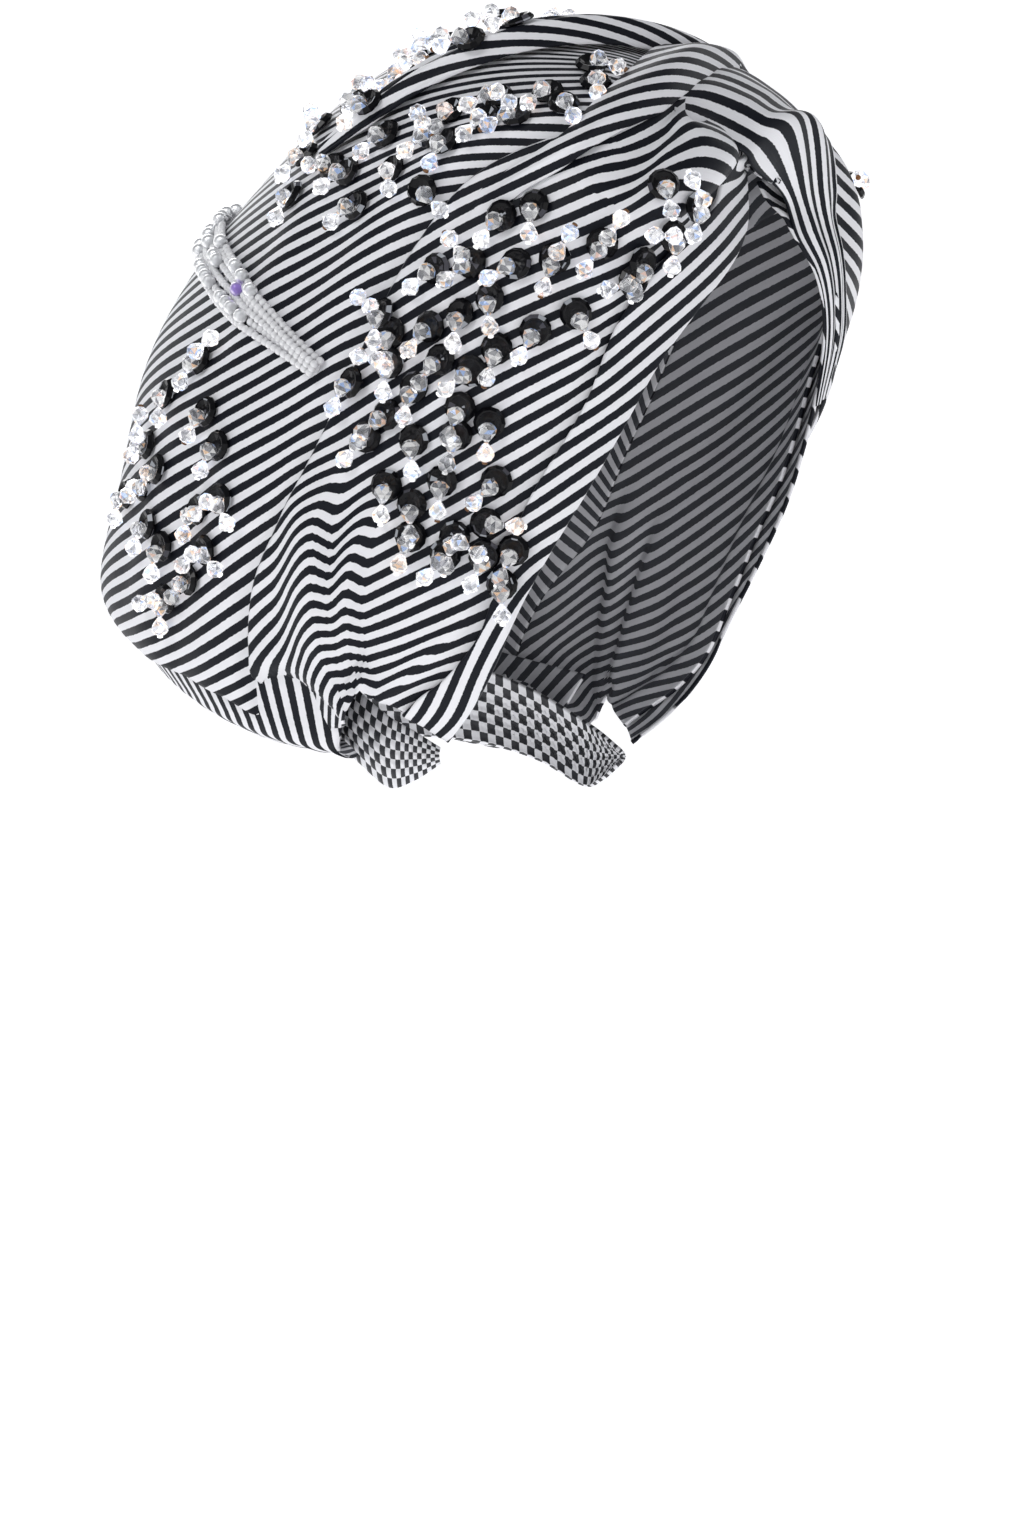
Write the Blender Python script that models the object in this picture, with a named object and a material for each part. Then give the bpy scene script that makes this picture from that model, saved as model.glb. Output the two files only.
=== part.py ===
"""Turban headwrap in its worn form: a puffed crown bag, side panels, a folded face band, brow wraps with a
twist where they cross, a smocked nape casing, sewn-on faceted paillettes and strings of glass beads.

Metres, +Z up. The wearer faces -Y and the wearer's right side is -X. The origin is on the inside of the crown,
where it bears on the top of the head.
"""

import math
from collections import namedtuple
from functools import lru_cache

import bpy
import numpy as np
from mathutils import Vector
from mathutils.bvhtree import BVHTree

for old in list(bpy.data.objects):
    bpy.data.objects.remove(old)

# Driving sizes
FRONT_REACH = 0.100  # origin to the front of the brow
BACK_REACH = 0.156  # origin to the back of the bag
HALF_WIDTH = 0.091  # mid-plane to the widest part of a side
HEIGHT = 0.2315  # top of the crown to the lower edge at the nape
WALL = 0.0018  # lined cotton, two layers with interfacing
LAP_GAP = 0.0006  # air between two layers that lap
LAP = 0.008  # how far one piece runs in under its neighbour
LAP_RISE = 0.006  # over how much cloth it comes out again
WRAP_GAP = 0.0013  # air under the free edges of a brow wrap
CASING_DEPTH = 0.026  # height of the smocked nape casing
SMOCK_RELIEF = 0.0012  # how far its puffs stand out
SMOCKS = 18  # puffs along the casing
CASING_BOW = 0.0020  # how far the middle of its height bows out
BASE_SEAM = 0.8  # share of the casing's height, from its top, at which the base of the bag is sewn on
BELLY = 0.008  # how far the base of the bag sags
STONE_RADIUS = 0.005  # a cup paillette
STONE_TABLE = 0.0036  # the radius of its flat table
STONE_HEIGHT = 0.0021
STONE_SEAT = 0.0005  # air between a stone and the cloth
THREAD = 0.0010  # width of the thread bar from stone to stone
BEAD = 0.0028  # one glass bead of the strings
STRINGS = 7  # strings side by side
SPREAD = 0.0008  # extra room between the strings at the middle of the drape

# The form of the whole wrap
# Each row is one hoop of cloth from the right rim over the crest to the left rim. Reaches are shares of
# FRONT_REACH (negative) or BACK_REACH, half widths of HALF_WIDTH, drops and the sag of HEIGHT.
Hoop = namedtuple("Hoop", "at rim_half rim_reach rim_drop crest_reach crest_drop widest sag")
HOOPS = (
    Hoop(0.000, 0.066, -0.80, 0.222, -0.945, 0.190, 0.165, 0.000),
    Hoop(0.090, 0.165, -0.85, 0.292, -0.820, 0.153, 0.465, 0.000),
    Hoop(0.180, 0.308, -0.87, 0.348, -0.612, 0.075, 0.700, 0.000),
    Hoop(0.270, 0.462, -0.83, 0.412, -0.320, 0.024, 0.870, 0.000),
    Hoop(0.360, 0.593, -0.75, 0.490, 0.080, 0.004, 0.930, 0.000),
    Hoop(0.455, 0.670, -0.66, 0.577, 0.346, 0.067, 0.967, 0.000),
    Hoop(0.545, 0.725, -0.57, 0.654, 0.558, 0.179, 0.985, 0.000),
    Hoop(0.636, 0.758, -0.46, 0.732, 0.737, 0.300, 0.989, 0.000),
    Hoop(0.727, 0.769, -0.35, 0.810, 0.859, 0.425, 0.989, 0.009),
    Hoop(0.818, 0.758, -0.26, 0.883, 0.930, 0.581, 0.945, 0.017),
    Hoop(0.909, 0.714, -0.15, 0.944, 1.000, 0.750, 0.835, 0.036),
    Hoop(1.000, 0.637, 0.00, 1.000, 0.860, 0.840, 0.725, 0.058),
)
WIDEST_AT = 0.352  # share of a hoop's rise at which it is widest

# Where the pieces of the right side meet, as a share of each hoop's length from its rim
Edge = namedtuple("Edge", "at share")
BAND_EDGE = (
    Edge(0.00, 0.490),
    Edge(0.03, 0.230),
    Edge(0.07, 0.150),
    Edge(0.12, 0.112),
    Edge(0.20, 0.088),
    Edge(0.31, 0.060),
    Edge(0.43, 0.036),
    Edge(0.60, 0.034),
    Edge(0.77, 0.036),
    Edge(0.90, 0.052),
    Edge(1.00, 0.060),
)
BAG_EDGE = (
    Edge(0.00, 0.390),
    Edge(0.03, 0.270),
    Edge(0.07, 0.215),
    Edge(0.12, 0.200),
    Edge(0.18, 0.215),
    Edge(0.24, 0.235),
    Edge(0.31, 0.226),
    Edge(0.46, 0.203),
    Edge(0.60, 0.180),
    Edge(0.70, 0.172),
    Edge(0.85, 0.188),
    Edge(0.93, 0.180),
    Edge(1.00, 0.165),
)
ROWS = (0, 0.03, 0.07, 0.12, 0.18, 0.24, 0.31, 0.38, 0.46, 0.54, 0.62, 0.70, 0.78, 0.86, 0.93, 1)

# Soft folds of the base cloth, each a ridge from one place to another. Places are (share of the hoop, hoop).
Fold = namedtuple("Fold", "from_share from_at to_share to_at half_width height")
FOLDS = (
    Fold(0.085, 1.02, 0.145, 0.74, 0.012, 0.0030),
    Fold(0.125, 1.02, 0.176, 0.80, 0.010, 0.0026),
    Fold(0.050, 0.98, 0.085, 0.70, 0.011, 0.0022),
    Fold(0.215, 1.00, 0.235, 0.62, 0.014, 0.0024),
    Fold(0.300, 0.98, 0.290, 0.66, 0.016, 0.0018),
    Fold(0.260, 0.30, 0.215, 0.60, 0.014, 0.0022),
    Fold(0.130, 0.30, 0.105, 0.62, 0.016, 0.0018),
)

# Wraps laid over the base cloth, each a strip down a centre line. The rise is how far its middle stands out.
Station = namedtuple("Station", "share at half_width rise")
BROW_FOLD = (
    Station(0.440, 0.165, 0.0080, 0.0038),
    Station(0.330, 0.120, 0.0100, 0.0066),
    Station(0.235, 0.108, 0.0130, 0.0080),
    Station(0.168, 0.150, 0.0165, 0.0090),
    Station(0.132, 0.220, 0.0190, 0.0085),
    Station(0.118, 0.305, 0.0215, 0.0070),
    Station(0.122, 0.390, 0.0210, 0.0052),
    Station(0.140, 0.470, 0.0150, 0.0040),
    Station(0.160, 0.530, 0.0070, 0.0034),
)
TOP_ROLL = (
    Station(0.480, 0.200, 0.0070, 0.0038),
    Station(0.430, 0.240, 0.0075, 0.0052),
    Station(0.375, 0.300, 0.0075, 0.0068),
    Station(0.340, 0.360, 0.0070, 0.0058),
    Station(0.330, 0.420, 0.0055, 0.0046),
    Station(0.335, 0.480, 0.0035, 0.0036),
)
LEFT_WRAP = (
    Station(0.565, 0.150, 0.0085, 0.0040),
    Station(0.680, 0.105, 0.0120, 0.0066),
    Station(0.800, 0.105, 0.0150, 0.0080),
    Station(0.868, 0.155, 0.0200, 0.0062),
    Station(0.902, 0.225, 0.0240, 0.0044),
    Station(0.925, 0.305, 0.0240, 0.0042),
    Station(0.940, 0.385, 0.0200, 0.0060),
    Station(0.946, 0.465, 0.0130, 0.0050),
)
TWIST = (
    Station(0.410, 0.220, 0.0060, 0.0086),
    Station(0.455, 0.195, 0.0090, 0.0096),
    Station(0.505, 0.170, 0.0100, 0.0100),
    Station(0.560, 0.140, 0.0095, 0.0096),
    Station(0.620, 0.112, 0.0070, 0.0086),
)
TWIST_CLEAR = 0.0076  # the twist's edges ride over the ends of the wraps

# The nape casing: its middle line on the wearer's right, then its height as a share of CASING_DEPTH
Nape = namedtuple("Nape", "at half reach drop tall")
NAPE = (
    Nape(0.00, 0.640, 0.003, 1.004, 0.20),
    Nape(0.15, 0.668, 0.055, 1.004, 0.60),
    Nape(0.30, 0.685, 0.110, 0.998, 0.86),
    Nape(0.45, 0.640, 0.200, 0.962, 0.88),
    Nape(0.60, 0.545, 0.285, 0.936, 0.94),
    Nape(0.80, 0.305, 0.365, 0.920, 1.00),
    Nape(1.00, 0.000, 0.397, 0.915, 1.00),
)
# The side pieces end above the casing: the share of the hoop, then the hoop at which the cloth stops
Trim = namedtuple("Trim", "share at")
TRIM = (Trim(0.000, 0.980), Trim(0.030, 0.945), Trim(0.060, 0.915), Trim(0.090, 0.880), Trim(0.108, 1.000))
TRIM_FROM = 0.78

# Paillette fields: rows of stones, each from one share of the hoop to another
StoneRow = namedtuple("StoneRow", "at from_share to_share count")
SIDE_FIELD = (
    StoneRow(0.270, 0.085, 0.150, 2),
    StoneRow(0.345, 0.172, 0.090, 3),
    StoneRow(0.405, 0.092, 0.172, 4),
    StoneRow(0.462, 0.170, 0.105, 4),
    StoneRow(0.515, 0.085, 0.172, 5),
    StoneRow(0.565, 0.170, 0.080, 5),
    StoneRow(0.612, 0.055, 0.170, 6),
    StoneRow(0.660, 0.120, 0.030, 5),
    StoneRow(0.705, 0.022, 0.080, 4),
)
BACK_FIELD = (
    StoneRow(0.680, 0.290, 0.310, 2),
    StoneRow(0.728, 0.320, 0.245, 3),
    StoneRow(0.776, 0.230, 0.325, 4),
    StoneRow(0.822, 0.340, 0.232, 4),
    StoneRow(0.862, 0.255, 0.285, 2),
)
TOP_FIELD = (
    StoneRow(0.245, 0.300, 0.340, 2),
    StoneRow(0.283, 0.345, 0.265, 3),
    StoneRow(0.328, 0.256, 0.470, 7),
    StoneRow(0.378, 0.410, 0.250, 5),
    StoneRow(0.428, 0.230, 0.388, 6),
    StoneRow(0.482, 0.385, 0.263, 5),
)
TOP_LEFT_FIELD = (
    StoneRow(0.330, 0.400, 0.285, 4),
    StoneRow(0.385, 0.265, 0.405, 4),
    StoneRow(0.440, 0.380, 0.290, 3),
)
SIDE_LEFT_FIELD = (
    StoneRow(0.270, 0.085, 0.150, 2),
    StoneRow(0.345, 0.172, 0.090, 3),
    StoneRow(0.405, 0.092, 0.172, 3),
    StoneRow(0.462, 0.170, 0.105, 3),
    StoneRow(0.525, 0.085, 0.172, 4),
    StoneRow(0.585, 0.170, 0.080, 4),
    StoneRow(0.640, 0.055, 0.150, 4),
    StoneRow(0.695, 0.080, 0.025, 3),
)
UNEVEN = 0.0022  # how far hand sewing strays from the rows

# The strings of beads drape from a tack on each side over the back of the crown
TACK_SHARE = 0.196
STRINGS_AT = 0.606


def depth(share):
    return share * (FRONT_REACH if share < 0 else BACK_REACH)


def along(table, at):
    """The columns after the first of a table, on a smooth curve through its rows."""
    rows = np.array(table, float)
    places, values = rows[:, 0], rows[:, 1:]
    slopes = np.gradient(values, places, axis=0)
    i = int(np.clip(np.searchsorted(places, at) - 1, 0, len(places) - 2))
    span = places[i + 1] - places[i]
    t = (at - places[i]) / span
    start = (2 * t**3 - 3 * t**2 + 1) * values[i] + (t**3 - 2 * t**2 + t) * span * slopes[i]
    end = (3 * t**2 - 2 * t**3) * values[i + 1] + (t**3 - t**2) * span * slopes[i + 1]
    return start + end


def ease(t):
    """0 up to t = 0, 1 from t = 1 on, smooth between."""
    t = np.clip(t, 0.0, 1.0)
    return t * t * (3 - 2 * t)


@lru_cache(maxsize=None)
def hoop(at):
    """The points of one hoop from rim to rim, and the length up to each."""
    half, reach, drop, crest_reach, crest_drop, widest, sag = along(HOOPS, at)
    half, widest = half * HALF_WIDTH, widest * HALF_WIDTH
    rim = np.array([depth(reach), WALL - drop * HEIGHT])
    crest = np.array([depth(crest_reach), WALL - crest_drop * HEIGHT])
    start = math.acos(min(1.0, half / widest))
    angle = np.linspace(-start, math.pi / 2, 121)
    low = WIDEST_AT / max(math.sin(start), 1e-6)
    rise = WIDEST_AT + np.where(angle < 0, low, 1 - WIDEST_AT) * np.sin(angle)
    x = widest * np.cos(angle)
    y = rim[0] + (crest[0] - rim[0]) * rise
    z = rim[1] + (crest[1] - rim[1]) * rise - sag * HEIGHT * 4 * rise * (1 - rise)
    right = np.stack([-x, y, z], 1)
    left = np.stack([x, y, z], 1)[::-1][1:]
    line = np.concatenate([right, left])
    steps = np.linalg.norm(np.diff(line, axis=0), axis=1)
    return line, np.concatenate([[0.0], np.cumsum(steps)])


def length(at):
    return hoop(float(at))[1][-1]


def on_form(share, at):
    """The point of the form at a share of a hoop's length."""
    line, run = hoop(float(at))
    place = share * run[-1]
    return np.array([np.interp(place, run, line[:, axis]) for axis in range(3)])


def tangents(share, at, step=0.004):
    """Change of the point with the share and with the hoop."""
    a, b = max(share - step, 0.0), min(share + step, 1.0)
    across = (on_form(b, at) - on_form(a, at)) / (b - a)
    c, d = max(at - step, 0.0), min(at + step, 1.0)
    down = (on_form(share, d) - on_form(share, c)) / (d - c)
    return across, down


def outward(share, at):
    across, down = tangents(share, at)
    normal = np.cross(across, down)
    return normal / np.linalg.norm(normal)


def folds(share, at):
    """How far the base cloth's folds stand out at a place, the same on both sides."""
    side = min(share, 1 - share)
    height = 0.0
    for fold in FOLDS:
        run = (at - fold.from_at) / (fold.to_at - fold.from_at)
        if not 0 < run < 1:
            continue
        middle = fold.from_share + (fold.to_share - fold.from_share) * run
        away = abs(side - middle) * length(at) / fold.half_width
        if away < 1:
            height += fold.height * math.cos(away * math.pi / 2) ** 2 * math.sin(math.pi * run) ** 0.7
    return height


def trimmed(share, at):
    """The hoop that a row reaches at this share once the cloth is cut off above the casing."""
    stop = np.interp(min(share, 1 - share), [t.share for t in TRIM], [t.at for t in TRIM])
    return at if at <= TRIM_FROM else TRIM_FROM + (at - TRIM_FROM) * (stop - TRIM_FROM) / (1 - TRIM_FROM)


def raised(share, at, lift):
    """A point of the form, lifted off it along its normal."""
    return on_form(share, at) + outward(share, at) * lift


# Meshes and materials
def material(name, color, roughness, **sockets):
    made = bpy.data.materials.new(name)
    made.use_nodes = True
    shader = made.node_tree.nodes["Principled BSDF"]
    shader.inputs["Base Color"].default_value = (*color, 1)
    shader.inputs["Roughness"].default_value = roughness
    for socket, value in sockets.items():
        shader.inputs[socket.replace("_", " ")].default_value = value
    return made


def place(name, vertices, faces, finish):
    mesh = bpy.data.meshes.new(name)
    mesh.from_pydata([tuple(v) for v in vertices], [], faces)
    mesh.update()
    mesh.shade_smooth()
    mesh.set_sharp_from_angle(angle=math.radians(40))
    mesh.materials.append(finish)
    piece = bpy.data.objects.new(name, mesh)
    bpy.context.scene.collection.objects.link(piece)
    return piece


def cloth(name, grid, finish, wall=WALL):
    """A sheet through a grid of outer points, with its wall on the inside."""
    rows, columns = len(grid), len(grid[0])
    points = [p for row in grid for p in row]
    faces = []
    for r in range(rows - 1):
        for c in range(columns - 1):
            a = r * columns + c
            faces.append((a, a + 1, a + columns + 1, a + columns))
    piece = place(name, points, faces, finish)
    thick = piece.modifiers.new("wall", "SOLIDIFY")
    thick.thickness = wall
    thick.offset = -1
    thick.use_quality_normals = True
    return piece


# Base panels
def column_places(low, high, at, under_low, under_high, count):
    """Shares of the hoop at which a panel has columns, and how deep each lies under a neighbour."""
    metres = length(at)
    lap, clear, out = LAP / metres, 0.0012 / metres, (0.0012 + LAP_RISE) / metres
    deep = WALL + LAP_GAP
    first = [(low - lap * under_low, -deep), (low + clear, -deep), (low + out, 0.0)]
    last = [(high - out, 0.0), (high - clear, -deep), (high + lap * under_high, -deep)]
    if not under_low:
        first = [(low, 0.0)]
    if not under_high:
        last = [(high, 0.0)]
    start, end = first[-1][0], last[0][0]
    middle = [(start + (end - start) * k / (count + 1), 0.0) for k in range(1, count + 1)]
    return first + middle + last


def panel(name, low, high, rows, count, finish, under_low=False, under_high=False, sink=None, swap=False):
    """A base panel between two edges given as functions of the hoop; swap makes the left one."""
    grid = []
    for at in rows:
        line = []
        for share, dip in column_places(low(at), high(at), at, under_low, under_high, count):
            place_at = trimmed(share, at)
            lift = dip + folds(share, place_at)
            if sink:
                lift += sink(share, at)
            side = 1 - share if swap else share
            line.append(raised(side, place_at, lift))
        grid.append(line[::-1] if swap else line)
    return cloth(name, grid, finish)


def band_edge(at):
    return float(along(BAND_EDGE, at)[0])


def bag_edge(at):
    return float(along(BAG_EDGE, at)[0])


def bag_front(share, at):
    """The front of the bag runs in under the face band."""
    return -(WALL + 4 * LAP_GAP) * (1 - ease((at - 0.035) / 0.04))


def strip(name, stations, rows, columns, finish, pleats=0, free=WRAP_GAP, flat=0.0):
    """A wrap that lies over the base cloth, with its free edges near it and its middle puffed."""
    table = [(i, *s) for i, s in enumerate(stations)]
    grid = []
    for r in range(rows):
        place_on = (len(stations) - 1) * r / (rows - 1)
        share, at, half, rise = along(table, place_on)
        ahead = along(table, min(place_on + 0.05, len(stations) - 1))
        behind = along(table, max(place_on - 0.05, 0))
        run, down = tangents(share, at)
        way = run * (ahead[0] - behind[0]) + down * (ahead[1] - behind[1])
        normal = outward(share, at)
        cross = np.cross(normal, way)
        cross /= np.linalg.norm(cross)
        (to_share, to_at), *_ = np.linalg.lstsq(np.stack([run, down], 1), cross, rcond=None)
        line = []
        edge = max(WALL + free, flat)
        for c in range(columns):
            s = 2 * c / (columns - 1) - 1
            puff = math.cos(s * math.pi / 2) ** 0.8 if abs(s) < 1 else 0.0
            lift = edge + (rise - edge) * puff
            if pleats:
                lift += 0.0011 * math.cos(s * math.pi * pleats) * puff
            a, b = share + to_share * s * half, at + to_at * s * half
            a, b = min(max(a, 0.004), 0.996), min(max(b, 0.004), 1.0)
            line.append(raised(a, b, lift + folds(a, b)))
        grid.append(line[::-1])
    return cloth(name, grid, finish)


# The nape
def nape_line(at):
    """Middle point of the casing and its height, from the right end at 0 to the left end at 2."""
    half, reach, drop, tall = along(NAPE, at if at <= 1 else 2 - at)
    side = -1 if at <= 1 else 1
    return np.array([side * half * HALF_WIDTH, reach * BACK_REACH, WALL - drop * HEIGHT]), tall * CASING_DEPTH


def nape_out(at):
    """The casing's outward direction, level."""
    way = nape_line(min(at + 0.02, 2))[0] - nape_line(max(at - 0.02, 0))[0]
    out = np.cross((0, 0, 1.0), way)
    return out / np.linalg.norm(out)


def nape_casing(finish):
    columns = 2 * SMOCKS + 1
    levels = 6
    grid = []
    for level in range(levels):
        line = []
        for c in range(columns):
            at = 2 * c / (columns - 1)
            middle, tall = nape_line(at)
            t = level / (levels - 1)
            puff = SMOCK_RELIEF * (1 if (c + level) % 2 else -0.2) * math.sin(math.pi * min(max(t, 0.12), 0.88))
            round_out = CASING_BOW * math.sin(math.pi * t)
            line.append(middle + nape_out(at) * (puff + round_out) + np.array([0, 0, tall * (0.5 - t)]))
        grid.append(line)
    return cloth("nape_casing", grid, finish)


def bag_base(finish):
    """The cloth under the bag, from inside its lower edge to the outside of the casing."""
    columns, rows = 23, 5
    stand = (CASING_BOW + SMOCK_RELIEF) * math.sin(math.pi * BASE_SEAM) + LAP_GAP
    grid = []
    for r in range(rows):
        t = r / (rows - 1)
        line = []
        for c in range(columns):
            share = 0.215 + 0.57 * c / (columns - 1)
            tucked = 2 - ease((min(share, 1 - share) - 0.205) / 0.04)
            outer = raised(share, 0.972, -(WALL + LAP_GAP) * tucked - LAP_GAP)
            at = 0.50 + c / (columns - 1)
            middle, tall = nape_line(at)
            inner = middle + nape_out(at) * stand - np.array([0, 0, tall * (BASE_SEAM - 0.5)])
            sag = BELLY * math.sin(math.pi * t) * math.sin(math.pi * (c + 1) / (columns + 1)) ** 0.5
            line.append(outer + (inner - outer) * t - np.array([0, 0, sag]))
        grid.append(line)
    return cloth("bag_base", grid, finish)


# Stones and strings
def cloth_under():
    """All cloth as one tree for rays."""
    graph = bpy.context.evaluated_depsgraph_get()
    points, faces = [], []
    for piece in bpy.context.scene.objects:
        mesh = piece.evaluated_get(graph).to_mesh()
        first = len(points)
        points += [v.co.copy() for v in mesh.vertices]
        faces += [tuple(first + i for i in p.vertices) for p in mesh.polygons]
    return BVHTree.FromPolygons(points, faces)


def height_at(tree, point, normal):
    """How far the cloth stands out along the normal at a point."""
    start = Vector(point + normal * 0.03)
    hit, _, _, gone = tree.ray_cast(start, Vector(-normal), 0.06)
    return 0.03 - gone if hit else -0.01


def seated(tree, share, at):
    """The frame of a stone that rests on the cloth: its seat, its normal and two directions across."""
    normal = outward(share, at)
    across, _ = tangents(share, at)
    u = across / np.linalg.norm(across)
    v = np.cross(normal, u)
    centre = on_form(share, at)
    ring = [centre + (u * math.cos(a) + v * math.sin(a)) * STONE_RADIUS for a in np.arange(8) * math.pi / 4]
    heights = [height_at(tree, p, normal) for p in ring]
    tops = [p + normal * h for p, h in zip(ring, heights)]
    tilt = np.cross(tops[2] - tops[6], tops[0] - tops[4])
    tilt = -tilt / np.linalg.norm(tilt)
    if tilt @ normal < 0.9:
        tilt = normal
    middle = sum(tops) / 8
    top = middle + tilt * max((p - middle) @ tilt for p in tops)
    inside = [top + (p - middle) * part for part in (0, 0.5, 0.8) for p in tops]
    top = top + tilt * max(0.0, *(height_at(tree, p - tilt * ((p - top) @ tilt), tilt) for p in inside))
    u = u - tilt * (u @ tilt)
    u /= np.linalg.norm(u)
    return top + tilt * STONE_SEAT, tilt, u, np.cross(tilt, u)


def clear_threads(tree, seats):
    """Raises neighbouring stones where the straight thread between them would cut the cloth."""
    raise_by = [0.0] * len(seats)
    for i in range(len(seats) - 1):
        start, end = seats[i][0], seats[i + 1][0]
        normal = seats[i][1] + seats[i + 1][1]
        normal /= np.linalg.norm(normal)
        beside = np.cross(normal, end - start)
        beside *= THREAD / 2 / np.linalg.norm(beside)
        along_it = [start + (end - start) * t + beside * k for t in np.linspace(0.25, 0.75, 9) for k in (-1, 1)]
        worst = max(height_at(tree, p, normal) for p in along_it)
        for j in (i, i + 1):
            raise_by[j] = max(raise_by[j], worst + STONE_SEAT)
    return [(seat + normal * more, normal, u, v) for (seat, normal, u, v), more in zip(seats, raise_by)]


def stone_places(rows):
    """Shares and hoops of the stones, row by row, a little uneven as sewn by hand."""
    places = []
    for r, row in enumerate(rows):
        for k in range(row.count):
            t = k / max(row.count - 1, 1)
            stray = UNEVEN * math.sin(2.3 * k + 1.7 * r)
            share = row.from_share + (row.to_share - row.from_share) * t
            share += UNEVEN * math.cos(3.1 * k + 2.9 * r) / length(row.at)
            places.append((share, row.at + 1.6 * stray / HEIGHT))
    return places


def stone_angles(back, ahead):
    """Ten corners: a narrow facet towards each neighbour and the rest evenly between."""
    narrow = math.asin(THREAD / 2 / STONE_RADIUS)
    turn = (ahead - back) % (2 * math.pi)
    if min(turn, 2 * math.pi - turn) < 0.6:
        ahead = back + (0.6 if turn < math.pi else -0.6)
        turn = (ahead - back) % (2 * math.pi)
    first = turn - 2 * narrow
    second = 2 * math.pi - turn - 2 * narrow
    inner = min(max(round(6 * first / (first + second)), 1), 5)
    corners = [back - narrow, back + narrow]
    corners += [back + narrow + first * (k + 1) / (inner + 1) for k in range(inner)]
    corners += [back + turn - narrow, back + turn + narrow]
    outer = 6 - inner
    corners += [back + turn + narrow + second * (k + 1) / (outer + 1) for k in range(outer)]
    return corners, inner


def stone_field(name, rows, tree, finish, mirrored=False):
    """One body: faceted stones joined one to the next by bars of thread."""
    places = [(1 - share, at) if mirrored else (share, at) for share, at in stone_places(rows)]
    seats = clear_threads(tree, [seated(tree, share, at) for share, at in places])
    vertices, faces, exits = [], [], []
    for i, (seat, normal, u, v) in enumerate(seats):
        towards = []
        for j in (i - 1, i + 1):
            if 0 <= j < len(seats):
                gap = seats[j][0] - seat
                towards.append(math.atan2(gap @ v, gap @ u))
        if len(towards) == 1:
            towards = [towards[0] + math.pi, towards[0]] if i == 0 else [towards[0], towards[0] + math.pi]
        corners, inner = stone_angles(*towards)
        first = len(vertices)
        for radius, high in ((STONE_RADIUS, 0.0), (STONE_TABLE, STONE_HEIGHT)):
            for a in corners:
                vertices.append(seat + (u * math.cos(a) + v * math.sin(a)) * radius + normal * high)
        faces.append([first + k for k in range(9, -1, -1)])
        faces.append([first + 10 + k for k in range(10)])
        sides = [0, inner + 2]
        for k in range(10):
            quad = (first + k, first + (k + 1) % 10, first + 10 + (k + 1) % 10, first + 10 + k)
            joined = (k == sides[0] and i > 0) or (k == sides[1] and i < len(seats) - 1)
            if not joined:
                faces.append(quad)
            if k == sides[0]:
                entry = quad
            if k == sides[1]:
                leaving = quad
        exits.append((entry, leaving))
    for (_, a), (b, _) in zip(exits, exits[1:]):
        pairs = [(a[0], b[1]), (a[1], b[0]), (a[2], b[3]), (a[3], b[2])]
        for k in range(4):
            p, q = pairs[k], pairs[(k + 1) % 4]
            faces.append((p[0], q[0], q[1], p[1]))
    return place(name, vertices, faces, finish)


def bead_strings(tree, finish):
    """The strings side by side, as one ribbed bundle that follows the crown from tack to tack."""
    rows = 23
    vertices, faces = [], []
    for r in range(rows):
        t = r / (rows - 1)
        share = TACK_SHARE + (1 - 2 * TACK_SHARE) * t
        normal = outward(share, STRINGS_AT)
        across, down = tangents(share, STRINGS_AT)
        side = np.cross(normal, across)
        side /= np.linalg.norm(side)
        fan = ease(min(t, 1 - t) / 0.22)
        pitch = BEAD * (0.42 + 0.58 * fan) + SPREAD * fan
        half = pitch * STRINGS / 2
        centre = on_form(share, STRINGS_AT)
        step = (1 - 2 * TACK_SHARE) / (rows - 1)
        high = -1.0
        for ahead in (-0.5, -0.25, 0, 0.25, 0.5):
            beside = on_form(share + ahead * step, STRINGS_AT)
            for k in range(-3, 4):
                high = max(high, height_at(tree, beside + side * half * k / 3, normal))
        chord = (on_form(share - step / 2, STRINGS_AT) + on_form(share + step / 2, STRINGS_AT)) / 2
        high += max((centre - chord) @ normal, 0.0)
        seat = centre + normal * (high + STONE_SEAT)
        count = 2 * STRINGS + 1
        bead = BEAD if t in (0, 1) else BEAD * (1.0 if r % 2 else 0.86)
        for k in range(count):
            s = 2 * k / (count - 1) - 1
            vertices.append(seat + side * half * s + normal * bead * (0.98 if k % 2 else 0.55))
        for k in range(count - 1, -1, -(count - 1)):
            s = 2 * k / (count - 1) - 1
            vertices.append(seat + side * half * s * 0.96)
    size = 2 * STRINGS + 3
    for r in range(rows - 1):
        for k in range(size):
            a, b = r * size + k, r * size + (k + 1) % size
            faces.append((a, a + size, b + size, b))
    faces.append(list(range(size)))
    faces.append([len(vertices) - 1 - k for k in range(size)])
    return place("bead_strings", vertices, faces, finish)


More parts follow.
